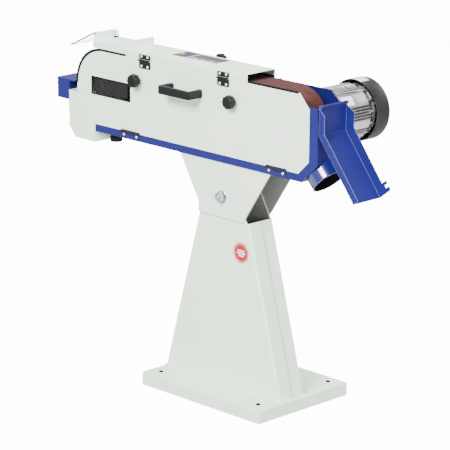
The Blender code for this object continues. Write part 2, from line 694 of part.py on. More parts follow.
def visor_pane():
    x, z = VISOR_PIVOT
    line = [(-607, 890), (x - 3.2, z - 1.5)]
    pane = prism("visor_pane", bent(line, 2.0), -91, -14)
    paint(CLEAR, pane)
    return [pane]


def rear_guard():
    """A channel that folds up over the drum: it hangs open here, its end fork pointing out."""
    x, z = GUARD_PIVOT
    top, knee, end = Vector((348, 865)), Vector((347, 793)), Vector((471, 635))
    down = (end - knee).normalized()
    out = Vector((-down.y, down.x))

    def at(along, outward):
        return tuple(end + down * along + out * outward)

    fork = [at(0, 46), at(-11, 46), at(-11, 34), at(-19, 34), at(-19, 46), at(-28, 46), at(-28, 29)]
    side = [tuple(top), tuple(knee), tuple(end), *fork, (376, 805), (377, 845), (356, 857), (351, 860),
            (top.x + SHEET, top.y)]
    guard = prism("rear_guard", side, -91, COVER_BACK)
    outer_knee = (knee.x + SHEET, knee.y + 0.6)
    hollow = [(top.x + SHEET, top.y + 20), outer_knee, at(20, SHEET), at(20, 300), (700, 885)]
    cut(guard, prism("guard_hollow", hollow, -91 + SHEET, COVER_BACK - SHEET))
    spare = [(353, 885), (356, 857), (367, 846), (367, 800), at(0, 20), at(20, 20), at(20, 300), (700, 885)]
    cut(guard, prism("guard_front_trim", spare, -95, -91 + SHEET + 1))
    join(guard, rod("guard_barrel", (x, -90.5, z), (x, COVER_BACK - 0.5, z), 4.5, 20))
    paint(BLUE, guard)
    return [guard]


def build():
    base_plate()
    column_shell("column_front_shell", COLUMN_FRONT, COLUMN_MID - GAP / 2)
    column_shell("column_back_shell", COLUMN_BACK, COLUMN_MID + GAP / 2)
    pivot_fasteners()

    case, buttons = switch_box()
    head = (pivot_bracket() + frame_shell() + dust_nozzle() + frame_back_plate() + platen() + knob_posts() +
            sanding_belt() + spark_box() + work_rest() + wheel_hood() + visor_bracket() + door_hinges() +
            motor_fixed_parts() + case + fork_guide())
    carry("head_axis", (PIVOT_X, 0, PIVOT_Z), head)
    carry("drum_axis", (DRUM_X, 0, AXIS_Z), motor_turning_parts())
    carry("fork_line", (WHEEL_X, 0, AXIS_Z), wheel_fork())
    carry("wheel_axis", (WHEEL_X, 0, AXIS_Z), contact_wheel())
    carry("lever_axis", (LEVER_PIVOT[0], -70, LEVER_PIVOT[1]), tension_lever())
    carry("tracking_axis", (*TRACKING, 640), tracking_knob())
    for button, place in buttons:
        carry(button.name + "_line", place, [button])

    carry("door_axis", (0, *DOOR_PIVOT), door_panel() + door_handle() + cover_hinge_bases())
    for side, x in KNOB_XS.items():
        knob = star_knob("door_knob_" + side, x, KNOB_Z, FRONT, -1)
        carry("door_knob_axis_" + side, (x, FRONT, KNOB_Z), [knob])
    carry("cover_axis", (0, *COVER_PIVOT), top_cover())
    knob = star_knob("cover_knob", *COVER_KNOB, COVER_BACK, 1)
    carry("cover_knob_axis", (COVER_KNOB[0], COVER_BACK, COVER_KNOB[1]), [knob])
    carry("visor_axis", (VISOR_PIVOT[0], -50, VISOR_PIVOT[1]), visor_pane())
    carry("guard_axis", (GUARD_PIVOT[0], -40, GUARD_PIVOT[1]), rear_guard())


clear_scene()
PARTS = make_collection("belt_grinder")
CUTTERS = make_collection("cutters")
build()
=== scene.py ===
import json
import math
import bmesh
import bpy
import numpy as np
from mathutils import Matrix, Vector


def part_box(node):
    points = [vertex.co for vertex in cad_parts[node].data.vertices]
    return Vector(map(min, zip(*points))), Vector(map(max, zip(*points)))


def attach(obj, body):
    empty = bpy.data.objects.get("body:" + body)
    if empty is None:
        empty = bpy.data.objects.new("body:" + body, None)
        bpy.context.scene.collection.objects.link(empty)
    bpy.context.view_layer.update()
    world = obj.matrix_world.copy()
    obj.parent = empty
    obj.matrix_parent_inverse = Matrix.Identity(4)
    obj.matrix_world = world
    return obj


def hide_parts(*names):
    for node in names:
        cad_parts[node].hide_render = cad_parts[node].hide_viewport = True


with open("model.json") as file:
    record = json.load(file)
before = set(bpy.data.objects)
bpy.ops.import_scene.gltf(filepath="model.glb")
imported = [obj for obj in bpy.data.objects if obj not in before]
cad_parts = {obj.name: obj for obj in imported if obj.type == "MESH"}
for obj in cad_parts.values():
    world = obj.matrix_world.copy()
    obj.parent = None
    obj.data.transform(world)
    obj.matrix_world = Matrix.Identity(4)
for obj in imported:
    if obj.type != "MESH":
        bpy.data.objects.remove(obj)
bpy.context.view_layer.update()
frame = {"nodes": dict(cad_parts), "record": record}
mm = 0.001  # every shape below is worked out in millimetres
bodyOf = {node: body for body, nodes in frame["record"]["behaviour"]["bodies"].items()
          for node in nodes}
slotOf = {part["node"]: part["material_slot"] for part in frame["record"]["subparts"]}
toFront, toBack, toTop, toRight = (0, -1, 0), (0, 1, 0), (0, 0, 1), (1, 0, 0)
scene = bpy.context.scene
print("frame loaded:", len(bodyOf), "nodes")

cameraView = {"azimuth": 45.04, "elevation": 15.36, "roll": 0.48,  # degrees
              "distance": 6.7289, "target": (-0.0396, -0.0397, 0.4706), "clip": (0.1, 200.0),  # m
              "lens": 198.8, "sensor": 36.0}  # mm


def makeCamera():
    # back points from the target to the camera; right and up turn about it by the roll
    azimuth, elevation, roll = (math.radians(cameraView[key])
                                for key in ("azimuth", "elevation", "roll"))
    back = Vector((math.sin(azimuth) * math.cos(elevation),
                   -math.cos(azimuth) * math.cos(elevation), math.sin(elevation)))
    level = Vector((math.cos(azimuth), math.sin(azimuth), 0))
    upright = back.cross(level)
    right = level * math.cos(roll) + upright * math.sin(roll)
    up = upright * math.cos(roll) - level * math.sin(roll)
    data = bpy.data.cameras.new("studioCamera")
    data.lens, data.sensor_width = cameraView["lens"], cameraView["sensor"]
    data.clip_start, data.clip_end = cameraView["clip"]
    camera = bpy.data.objects.new("studioCamera", data)
    scene.collection.objects.link(camera)
    facing = Matrix((right, up, back)).transposed().to_4x4()
    spot = Vector(cameraView["target"]) + back * cameraView["distance"]
    camera.matrix_world = Matrix.Translation(spot) @ facing
    scene.camera = camera


studio = {"floorRadius": 60.0, "floorSides": 96, "floorColour": (0.45, 0.45, 0.445),
          "floorRough": 0.9, "floorSpecular": 0.1, "seenFloor": 13.0, "seenSky": 15.0,
          "sky": 0.65, "aim": (0, 0, 0.6),
          # name: (place, size, watts, colour)
          "lamps": {"keyLamp": ((1.2, -4.4, 4.0), 2.2, 860.0, (1.0, 0.995, 0.985)),
                    "sideLamp": ((5.0, -1.2, 1.6), 2.2, 270.0, (0.98, 0.99, 1.0)),
                    "topLamp": ((-0.8, 0.6, 4.6), 2.4, 270.0, (1.0, 1.0, 1.0)),
                    "backLamp": ((0.5, 4.8, 2.6), 2.4, 150.0, (1.0, 1.0, 1.0))}}


def seenOrLit(tree, seen, lit):
    # one strength straight to the eye and another for the light it gives off
    path = tree.nodes.new("ShaderNodeLightPath")
    choose = tree.nodes.new("ShaderNodeMapRange")
    choose.inputs["To Min"].default_value, choose.inputs["To Max"].default_value = lit, seen
    tree.links.new(path.outputs["Is Camera Ray"], choose.inputs["Value"])
    return choose.outputs["Result"]


def makeFloor():
    sides = studio["floorSides"]
    angle = np.linspace(0, 2 * math.pi, sides, endpoint=False)
    rim = np.stack((np.cos(angle), np.sin(angle), np.zeros(sides)), -1) * studio["floorRadius"]
    mesh = bpy.data.meshes.new("studioFloor")
    mesh.from_pydata(rim.tolist(), [], [list(range(sides))])
    floor = bpy.data.objects.new("studioFloor", mesh)
    scene.collection.objects.link(floor)
    material = bpy.data.materials.new("paleFloor")
    material.use_nodes = True
    sockets = material.node_tree.nodes["Principled BSDF"].inputs
    sockets["Base Color"].default_value = (*studio["floorColour"], 1)
    sockets["Roughness"].default_value = studio["floorRough"]
    sockets["Specular IOR Level"].default_value = studio["floorSpecular"]
    sockets["Emission Color"].default_value = (1, 1, 1, 1)
    material.node_tree.links.new(seenOrLit(material.node_tree, studio["seenFloor"], 0.0),
                                 sockets["Emission Strength"])
    mesh.materials.append(material)


def makeLights():
    world = bpy.data.worlds.new("studioSky")
    world.use_nodes = True
    sky = world.node_tree.nodes["Background"]
    sky.inputs["Color"].default_value = (1, 1, 1, 1)
    world.node_tree.links.new(seenOrLit(world.node_tree, studio["seenSky"], studio["sky"]),
                              sky.inputs["Strength"])
    scene.world = world
    for name, (spot, size, watts, colour) in studio["lamps"].items():
        data = bpy.data.lights.new(name, "AREA")
        data.shape, data.size, data.energy, data.color = "DISK", size, watts, colour
        lamp = bpy.data.objects.new(name, data)
        lamp.location = spot
        aim = Vector(studio["aim"]) - Vector(spot)
        lamp.rotation_euler = aim.to_track_quat("-Z", "Y").to_euler()
        scene.collection.objects.link(lamp)


makeCamera()
makeFloor()
makeLights()
print("camera and studio ready")


def addNode(tree, kind, **values):
    node = tree.nodes.new(kind)
    for key, value in values.items():
        if hasattr(node, key):
            setattr(node, key, value)
        else:
            node.inputs[key.replace("_", " ")].default_value = value
    return node


def noiseOf(tree, spot, scale, detail):
    noise = addNode(tree, "ShaderNodeTexNoise", Scale=scale, Detail=detail)
    tree.links.new(spot, noise.inputs["Vector"])
    return noise.outputs["Fac"]


def rampOf(tree, amount, stops, colours):
    # black to white, or from one colour to the other, between two stops
    ramp = addNode(tree, "ShaderNodeValToRGB")
    for element, stop, colour in zip(ramp.color_ramp.elements, stops, colours):
        element.position, element.color = stop, (*colour, 1)
    tree.links.new(amount, ramp.inputs["Fac"])
    return ramp.outputs["Color"]


def laidOver(tree, amount, under, over):
    # a plain colour laid over another one by an amount
    mix = addNode(tree, "ShaderNodeMix", data_type="RGBA")
    tree.links.new(amount, mix.inputs[0])
    tree.links.new(under, mix.inputs[6])
    mix.inputs[7].default_value = (*over, 1)
    return mix.outputs[2]


def edgeHighlight(tree, share, width):
    # the share of a lighter colour laid near an edge, a painted highlight
    # a rounded normal differs from the flat one only close to an edge
    rounded = addNode(tree, "ShaderNodeBevel", samples=6, Radius=width * mm)
    match = addNode(tree, "ShaderNodeVectorMath", operation="DOT_PRODUCT")
    tree.links.new(rounded.outputs["Normal"], match.inputs[0])
    tree.links.new(addNode(tree, "ShaderNodeNewGeometry").outputs["Normal"], match.inputs[1])
    near = addNode(tree, "ShaderNodeMapRange", From_Min=0.995, From_Max=0.80, To_Min=0.0,
                   To_Max=share)
    tree.links.new(match.outputs["Value"], near.inputs["Value"])
    return near.outputs["Result"]


def makeFinish(name, own):
    # the colour drifts between two tones, roughness between two values, and fine noise or
    # grains lift the surface
    look = {**plainLook, **own}
    material = bpy.data.materials.new(name)
    material.use_nodes = True
    tree = material.node_tree
    link, sockets = tree.links.new, tree.nodes["Principled BSDF"].inputs
    spot = addNode(tree, "ShaderNodeTexCoord").outputs["Object"]
    colour = rampOf(tree, noiseOf(tree, spot, look["driftScale"], 4.0), (0.35, 0.68), look["tones"])
    if "speck" in look:  # sharp-edged grains over the ground colour
        speck, scale = look["speck"]
        grain = addNode(tree, "ShaderNodeTexVoronoi", Scale=scale, Randomness=1.0)
        link(spot, grain.inputs["Vector"])
        picked = rampOf(tree, grain.outputs["Color"], (0.30, 0.62), ((0, 0, 0), (1, 1, 1)))
        colour = laidOver(tree, picked, colour, speck)
    # painted highlight: the edges take a lighter colour
    if "edge" in look:
        bright, share, width = look["edge"]
        colour = laidOver(tree, edgeHighlight(tree, share, width), colour, bright)
    link(colour, sockets["Base Color"])
    gloss = addNode(tree, "ShaderNodeMapRange", From_Min=0.3, From_Max=0.7,
                    To_Min=look["rough"][0], To_Max=look["rough"][1])
    link(noiseOf(tree, spot, look["patchScale"], 3.0), gloss.inputs["Value"])
    link(gloss.outputs["Result"], sockets["Roughness"])
    scale, strength, depth = look["relief"]
    if look["kind"] == "grain":
        cells = addNode(tree, "ShaderNodeTexVoronoi", Scale=scale)
        link(spot, cells.inputs["Vector"])
        height = cells.outputs["Distance"]
    else:
        if look["kind"] == "brushed":
            stretch = addNode(tree, "ShaderNodeMapping", Scale=look["stretch"])
            link(spot, stretch.inputs["Vector"])
            spot = stretch.outputs["Vector"]
        height = noiseOf(tree, spot, scale, look["reliefDetail"])
    bump = addNode(tree, "ShaderNodeBump", Strength=strength, Distance=depth * mm)
    link(height, bump.inputs["Height"])
    link(bump.outputs["Normal"], sockets["Normal"])
    for socket, key in (("Metallic", "metal"), ("Coat Weight", "coat"), ("Alpha", "alpha"),
                        ("Coat Roughness", "coatRough"), ("Specular IOR Level", "specular")):
        sockets[socket].default_value = look[key]
    return material


# tones are the two colours the finish drifts between and rough its two roughnesses; relief is
# (scale, strength, depth), edge is (colour, share, width) of a painted highlight along the edges
# and speck is (colour, scale)
plainLook = {"driftScale": 9.0, "patchScale": 45.0, "kind": "noise", "reliefDetail": 2.0,
             "metal": 0.0, "coat": 0.0, "coatRough": 0.2, "specular": 0.5, "alpha": 1.0}
satinBlue = {"tones": ((0.0088, 0.0098, 0.110), (0.0102, 0.0116, 0.124)), "rough": (0.30, 0.42),
             "relief": (560.0, 0.22, 0.10), "coat": 0.05, "specular": 0.22}
paper = {"rough": (0.30, 0.42), "relief": (200.0, 0.05, 0.03)}
printed = {"rough": (0.35, 0.45), "relief": (200.0, 0.05, 0.03), "specular": 0.2}
button = {"rough": (0.22, 0.34), "relief": (300.0, 0.1, 0.05), "coat": 0.4}
looks = {
    "greyWhiteEnamel": {"tones": ((0.715, 0.870, 0.700), (0.740, 0.890, 0.725)),
        "rough": (0.36, 0.48), "relief": (620.0, 0.18, 0.08), "coat": 0.15,
        "edge": ((0.95, 0.97, 0.95), 0.6, 1.1)},
    # painted shade: the white enamel darkened for inside faces
    "shadedInnerEnamel": {"tones": ((0.270, 0.275, 0.255), (0.300, 0.305, 0.285)), "rough": (0.50, 0.62),
        "relief": (620.0, 0.18, 0.08), "specular": 0.3},
    "paleSheet": {"tones": ((0.800, 0.930, 0.940), (0.820, 0.945, 0.950)), "rough": (0.24, 0.34),
        "relief": (500.0, 0.1, 0.05), "coat": 0.3},
    "blueEnamel": {**satinBlue, "edge": ((0.10, 0.13, 0.42), 0.5, 1.2)},
    "guardBlue": {**satinBlue, "edge": ((0.42, 0.50, 0.98), 0.75, 1.3)},
    # painted shade: the blue darkened for faces in shadow
    "shadedBlue": {"tones": ((0.0042, 0.0048, 0.062), (0.0050, 0.0058, 0.072)), "rough": (0.34, 0.46),
        "relief": (560.0, 0.22, 0.10), "specular": 0.15},
    "glossBlue": {"tones": satinBlue["tones"], "rough": (0.17, 0.22), "relief": (300.0, 0.06, 0.05),
        "coat": 1.0, "coatRough": 0.12, "specular": 0.8},
    "mouldedBlack": {"tones": ((0.006, 0.006, 0.0065), (0.010, 0.010, 0.0105)),
        "rough": (0.42, 0.60), "relief": (900.0, 0.35, 0.10), "specular": 0.16,
        "edge": ((0.10, 0.10, 0.10), 0.6, 0.9)},
    "blackedSteel": {"tones": ((0.007, 0.007, 0.008), (0.013, 0.013, 0.014)), "rough": (0.34, 0.50),
        "relief": (300.0, 0.25, 0.10), "specular": 0.2, "edge": ((0.16, 0.16, 0.16), 0.7, 0.9)},
    "brightZinc": {"tones": ((0.34, 0.39, 0.42), (0.66, 0.70, 0.71)), "rough": (0.16, 0.30),
        "metal": 1.0, "driftScale": 60.0, "relief": (500.0, 0.15, 0.05)},
    "machinedSteel": {"tones": ((0.50, 0.50, 0.50), (0.62, 0.62, 0.61)), "rough": (0.26, 0.40),
        "metal": 1.0, "driftScale": 40.0, "kind": "brushed", "stretch": (1.0, 30.0, 1.0),
        "relief": (120.0, 0.25, 0.05)},
    "castAluminium": {"tones": ((0.62, 0.62, 0.60), (0.80, 0.80, 0.78)), "rough": (0.24, 0.40),
        "metal": 0.92, "driftScale": 26.0, "relief": (420.0, 0.35, 0.14), "reliefDetail": 5.0},
    "darkGreyEnamel": {"tones": ((0.011, 0.011, 0.012), (0.022, 0.022, 0.023)),
        "rough": (0.32, 0.46), "driftScale": 18.0, "relief": (520.0, 0.25, 0.10),
        "edge": ((0.12, 0.12, 0.12), 0.5, 0.9), "specular": 0.3},
    # painted shade deep between the motor's fins
    "finGapShade": {"tones": ((0.030, 0.030, 0.030), (0.070, 0.070, 0.068)), "rough": (0.60, 0.80),
        "driftScale": 30.0, "relief": (420.0, 0.35, 0.14)},
    "whiteRivet": {"tones": ((0.84, 0.85, 0.85), (0.90, 0.90, 0.90)), "rough": (0.25, 0.40),
        "metal": 0.3, "relief": (300.0, 0.1, 0.05)},
    "abrasiveGrit": {"tones": ((0.010, 0.0013, 0.0013), (0.022, 0.0032, 0.0030)),
        "rough": (0.70, 0.95), "speck": ((0.070, 0.014, 0.0125), 520.0), "kind": "grain",
        "relief": (620.0, 0.9, 0.45), "specular": 0.3, "driftScale": 25.0},
    "groundRubber": {"tones": ((0.013, 0.013, 0.013), (0.024, 0.023, 0.022)), "rough": (0.72, 0.92),
        "relief": (700.0, 0.5, 0.15), "specular": 0.3},
    "graphiteCloth": {"tones": ((0.035, 0.035, 0.038), (0.060, 0.060, 0.064)),
        "rough": (0.60, 0.85), "kind": "grain", "relief": (900.0, 0.6, 0.2)},
    "greenButton": {**button, "tones": ((0.012, 0.200, 0.040), (0.016, 0.240, 0.050))},
    "redButton": {**button, "tones": ((0.400, 0.012, 0.012), (0.460, 0.018, 0.016))},
    "clearSheet": {"tones": ((0.80, 0.71, 0.69), (0.84, 0.76, 0.74)), "rough": (0.05, 0.12),
        "relief": (40.0, 0.05, 0.05), "alpha": 0.30},
    "sheetEdge": {"tones": ((0.012, 0.011, 0.012), (0.050, 0.046, 0.048)), "rough": (0.15, 0.25),
        "driftScale": 120.0, "relief": (200.0, 0.1, 0.05)},
    "ductShadow": {"tones": ((0.006, 0.006, 0.010), (0.012, 0.012, 0.018)), "rough": (0.80, 0.95),
        "relief": (200.0, 0.3, 0.1), "specular": 0.1},
    "labelRed": {**printed, "tones": ((0.43, 0.007, 0.013), (0.47, 0.010, 0.018))},
    "labelBlue": {**printed, "tones": ((0.012, 0.024, 0.180), (0.015, 0.030, 0.200))},
    "labelYellow": {**printed, "tones": ((0.62, 0.42, 0.012), (0.66, 0.46, 0.020))},
    "labelGrey": {**paper, "tones": ((0.060, 0.066, 0.060), (0.074, 0.080, 0.074))},
    "labelPale": {**paper, "tones": ((0.80, 0.82, 0.80), (0.84, 0.86, 0.84))},
}
finishes = {name: makeFinish(name, look) for name, look in looks.items()}
finishOfSlot = {"white": "greyWhiteEnamel", "blue": "blueEnamel", "black": "mouldedBlack",
                "blackmetal": "blackedSteel", "zinc": "brightZinc", "steel": "machinedSteel",
                "alu": "castAluminium", "greycover": "darkGreyEnamel", "belt": "abrasiveGrit",
                "rubber": "groundRubber", "graphite": "graphiteCloth", "green": "greenButton",
                "red": "redButton", "clear": "clearSheet"}
for node, slot in slotOf.items():
    materials = frame["nodes"][node].data.materials
    materials.clear()
    materials.append(finishes[finishOfSlot[slot]])
print("finishes ready:", len(finishes))


def gridShell(points, ends=True, looped=False):
    # quads between neighbouring rows of closed rings, with the end rows filled
    rows, columns = points.shape[:2]
    row, col = np.mgrid[0:rows if looped else rows - 1, 0:columns]
    nextRow, nextCol = (row + 1) % rows, (col + 1) % columns
    corners = (row * columns + col, row * columns + nextCol,
               nextRow * columns + nextCol, nextRow * columns + col)
    faces = np.stack(corners, -1).reshape(-1, 4).tolist()
    if ends and not looped:
        faces += [list(range(columns)), list(range((rows - 1) * columns, rows * columns))]
    return points.reshape(-1, 3) * mm, faces


def circle(steps):
    return np.linspace(0, 2 * math.pi, steps, endpoint=False)


def ringAbout(axis, angle):
    # an axis at unit length, and the unit vectors square to it at every angle
    axis = np.asarray(axis, float) / np.linalg.norm(axis)
    first = np.cross(axis, toTop if abs(axis[2]) < 0.9 else toRight)
    first /= np.linalg.norm(first)
    second = np.cross(axis, first)
    return axis, first * np.cos(angle)[:, None] + second * np.sin(angle)[:, None]


def xyz(x, y, z):
    # points from three coordinates, each an array or one number for all
    return np.stack(np.broadcast_arrays(x, y, z), -1)


def band(inner, outer, low, high):
    # the square profile of a disc or a ring
    return [(inner, low), (outer, low), (outer, high), (inner, high)]


def turn(profile, base, axis, steps=48, ripple=None, looped=False):
    # a profile of (radius, height) turned about an axis; where a row has a third value, it scales
    # ripple(angle), which is added to the radius
    profile = np.array([(*row, 0.0)[:3] for row in profile], float)
    angle = circle(steps)
    axis, ring = ringAbout(axis, angle)
    radius = profile[:, 0, None] + (profile[:, 2, None] * ripple(angle)[None] if ripple else 0)
    radius = np.maximum(radius, 0)[..., None]
    points = np.asarray(base) + radius * ring[None] + profile[:, 1, None, None] * axis
    return gridShell(points, ends=False, looped=looped)


def carry(path, section, side, closed=False, scale=None):
    # a flat section carried along a path; side is the direction of the section's first axis
    path = np.asarray(path, float)
    along = np.roll(path, -1, 0) - np.roll(path, 1, 0)
    if not closed:
        along[0], along[-1] = path[1] - path[0], path[-1] - path[-2]
    along /= np.linalg.norm(along, axis=1)[:, None]
    side = np.broadcast_to(np.asarray(side, float), path.shape)
    other = np.cross(along, side)
    other /= np.linalg.norm(other, axis=1)[:, None]
    side = np.cross(other, along)
    size = np.ones(len(path)) if scale is None else np.asarray(scale)
    section = np.asarray(section, float)
    offset = section[None, :, 0, None] * side[:, None] + section[None, :, 1, None] * other[:, None]
    return gridShell(path[:, None] + size[:, None, None] * offset, looped=closed)


def roundRect(width, height, radius, steps=5):
    # four quarter circles joined by straight sides
    turns = np.linspace(0, math.pi / 2, steps)
    corners = []
    for quarter, (x, y) in enumerate(((1, 1), (-1, 1), (-1, -1), (1, -1))):
        angle = turns + quarter * math.pi / 2
        corners.append(np.stack((x * (width / 2 - radius) + radius * np.cos(angle),
                                 y * (height / 2 - radius) + radius * np.sin(angle)), -1))
    return np.concatenate(corners)


def ringOf(radius, steps=24):
    return np.stack((np.cos(circle(steps)), np.sin(circle(steps))), -1) * radius


def slab(outline, base, axis, first, thick, edge=0.4):
    # a flat outline given thickness along axis, its rim rounded by stepping in near both faces
    outline = np.asarray(outline, float)
    axis, first = np.asarray(axis, float), np.asarray(first, float)
    second = np.cross(axis, first)
    middle = outline.mean(0)
    reach = np.abs(outline - middle).max(0)
    rows = []
    for height, inset in ((0, edge), (edge * 0.3, edge * 0.3), (edge, 0), (thick - edge, 0),
                          (thick - edge * 0.3, edge * 0.3), (thick, edge)):
        drawn = middle + (outline - middle) * (1 - inset / reach)
        rows.append(np.asarray(base) + drawn[:, :1] * first + drawn[:, 1:] * second + height * axis)
    return gridShell(np.array(rows))


def frontSlab(width, height, radius, spot, thick, edge=0.4, steps=5):
    # a rounded plate standing out towards the front
    return slab(roundRect(width, height, radius, steps), spot, toFront, toRight, thick, edge)


def makePiece(name, shells, finish, like, stands=(), sharp=35):
    # shells are (points, faces) or (points, faces, finish); all are joined, merged and turned
    # outwards
    points, faces, indices, names = [], [], [], [finish]
    start = 0
    for shell in shells:
        own = shell[2] if len(shell) > 2 else finish
        if own not in names:
            names.append(own)
        points.append(shell[0])
        faces += [[index + start for index in face] for face in shell[1]]
        indices += [names.index(own)] * len(shell[1])
        start += len(shell[0])
    mesh = bpy.data.meshes.new(name)
    mesh.from_pydata(np.concatenate(points).tolist(), [], faces)
    mesh.polygons.foreach_set("material_index", indices)
    bm = bmesh.new()
    bm.from_mesh(mesh)
    bmesh.ops.remove_doubles(bm, verts=bm.verts, dist=1e-6)
    bmesh.ops.recalc_face_normals(bm, faces=bm.faces)
    bm.to_mesh(mesh)
    bm.free()
    for own in names:
        mesh.materials.append(finishes[own])
    return place(name, mesh, like, stands, sharp)


def standIn(node, shells, finish, sharp=35, name=None):
    # a piece in a node's place, named after it
    first, *rest = node.split("_")
    own = first + "".join(word.title() for word in rest)
    return makePiece(name or own, shells, finish, node, (node,), sharp=sharp)


def place(name, mesh, like, stands=(), sharp=35):
    piece = bpy.data.objects.new(name, mesh)
    scene.collection.objects.link(piece)
    mesh.shade_smooth()
    mesh.set_sharp_from_angle(angle=math.radians(sharp))
    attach(piece, bodyOf[like])
    if stands:
        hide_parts(*stands)
    return piece


def easedCopy(node, width=0.5, bendWidth=3.0, bend=None, inner=None, shadeFinish="shadedInnerEnamel",
              sharp=30, outerFinish=None):
    # the sheet's own shape with eased edges; edges that bend(middle, direction) picks get the
    # fold radius, and faces that inner(middle, normal) picks get a darker finish as painted shade
    bm = bmesh.new()
    bm.from_mesh(frame["nodes"][node].data)
    bmesh.ops.remove_doubles(bm, verts=bm.verts, dist=2e-6)
    bmesh.ops.dissolve_limit(bm, angle_limit=math.radians(0.6), verts=bm.verts, edges=bm.edges)
    weight = bm.edges.layers.float.new("bevel_weight_edge")
    for edge in bm.edges:
        if len(edge.link_faces) == 2 and edge.calc_face_angle(0.0) > math.radians(24):
            start, end = (vertex.co for vertex in edge.verts)
            folded = bend and bend((start + end) / 2 / mm, (end - start).normalized())
            edge[weight] = 1.0 if folded else width / bendWidth
    if inner:
        for face in bm.faces:
            inside = inner(face.calc_center_median() / mm, face.normal)
            face.material_index = 1 if inside else 0
    mesh = bpy.data.meshes.new(node + "Eased")
    bm.to_mesh(mesh)
    bm.free()
    mesh.materials.append(finishes[outerFinish or finishOfSlot[slotOf[node]]])
    if inner:
        mesh.materials.append(finishes[shadeFinish])
    piece = place(node + "Eased", mesh, node, (node,), sharp=sharp)
    bevel = piece.modifiers.new("easedEdges", "BEVEL")
    bevel.limit_method, bevel.width, bevel.segments = "WEIGHT", bendWidth * mm, 3
    bevel.harden_normals = False
    smooth = piece.modifiers.new("evenShading", "WEIGHTED_NORMAL")
    smooth.keep_sharp = True


def centreOf(node):
    low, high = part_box(node)
    return (low + high) / 2 / mm, low / mm, high / mm


def barrelOf(start, end, radius, base, axis, ease=0.4, shoulder=0.5, steps=20):
    # a round bar whose two ends are eased
    return turn([(0, start), (radius - ease, start), (radius, start + shoulder),
                 (radius, end - shoulder), (radius - ease, end), (0, end)], base, axis, steps)


stand = {"baseFold": 4.0, "columnFold": 5.0, "bracketFold": 4.0, "frontFace": -82.5,
         "backFace": 9.5, "weldRadius": 2.9, "seamWeld": 1.5, "weldRipple": 0.5,
         "ripplePitch": 8.0, "seamFoot": 221.6, "seamLean": 128, "seamRise": 468,
         "holeShadeSpots": (187.5, 136.5), "holeShadeHeight": 38.0}


def weldBead(path, radius, closed=False):
    # a round bead whose radius rises and falls along its length
    path = np.asarray(path, float)
    ends = np.concatenate((path, path[:1])) if closed else path
    lengths = np.linalg.norm(np.diff(ends, axis=0), axis=1)
    reach = np.concatenate(((0,), np.cumsum(lengths)))
    count = max(8, int(reach[-1] / (stand["ripplePitch"] / 3)))
    spots = np.linspace(0, reach[-1], count, endpoint=not closed)
    fine = np.stack([np.interp(spots, reach, ends[:, axis]) for axis in range(3)], -1)
    size = 1 + stand["weldRipple"] * 0.5 * np.sin(spots / stand["ripplePitch"] * 2 * math.pi)
    return carry(fine, ringOf(radius, 8), (0.31, 0.52, 0.80), closed, size)


def makeStand():
    # folded sheets whose inside faces take painted shade, a weld round the column's foot, dark
    # fills of painted shade in the anchor holes, and a dark seam line of painted shade down each
    # side that leans in evenly as it climbs
    easedCopy("base_plate", 0.5, stand["baseFold"], lambda middle, along: middle.z > 36
              and max(abs(along.x), abs(along.y)) > 0.99
              and (abs(middle.x) > 220 or abs(middle.y) > 166)
              or abs(along.z) > 0.9 and abs(middle.x) > 224)
    # the inside faces of each shell take the darker white as painted shade
    for side, inward in (("front", 1), ("back", -1)):
        face = stand[side + "Face"]
        easedCopy("column_" + side + "_shell", 0.4, stand["columnFold"],
                  lambda middle, along: abs(along.z) > 0.9 and abs(middle.y - face) < 0.5
                  and middle.z < 505, lambda middle, normal: normal.y * inward > 0.9)
    low, high = centreOf("column_front_shell")[1:]
    left, right, floor = low.x - 1.0, high.x + 1.0, low.z - 0.1
    near, far = low.y - 1.0, centreOf("column_back_shell")[2].y + 1.0
    foot = [(left, near, floor), (right, near, floor), (right, far, floor), (left, far, floor)]
    makePiece("columnFootWeld", [weldBead(foot, stand["weldRadius"], True)], "labelPale",
              "base_plate")
    # dark fills that stand for the shade inside the anchor holes
    holeShadeProfile = [(0, -2.2), (5.4, -2.2), (5.7, 0.05), (6.6, 0.05), (6.8, 0.7), (5.4, 2.4), (2.6, 3.4),
            (0, 3.6)]
    x, y = stand["holeShadeSpots"]
    makePiece("anchorHoleShade", [turn(holeShadeProfile, (sideX * x, sideY * y, stand["holeShadeHeight"]), toTop, 32)
                              for sideX in (-1, 1) for sideY in (-1, 1)],
              "ductShadow", "base_plate")
    # a thin dark line of painted shade in the gap where the two shells meet
    share = np.linspace(0, 1, 12)
    lean = stand["seamFoot"] - stand["seamLean"] * share
    lines = [carry(xyz(side * lean, high.y + 0.15, low.z + stand["seamRise"] * share),
                   roundRect(1.3, 0.4, 0.15, 3), toBack) for side in (-1, 1)]
    makePiece("columnSeamShade", lines, "shadedInnerEnamel", "column_front_shell")


def hexBolt(spot, axis, flats, height, chamfer=0.9):
    # a hexagon whose corners are turned down at the top: the smaller of the hexagon and a cone
    angle = circle(48)
    axis, ring = ringAbout(axis, angle)
    hexagon = flats / 2 / np.cos((angle + math.pi / 6) % (math.pi / 3) - math.pi / 6)
    limits = ((0.0, 9e9), (1 - chamfer * 1.6 / height, 9e9), (1 - chamfer / height, 0.56 * flats),
              (1.0, 0.465 * flats))
    return gridShell(np.array([np.asarray(spot) + np.minimum(hexagon, limit)[:, None] * ring
                               + share * height * axis for share, limit in limits]))


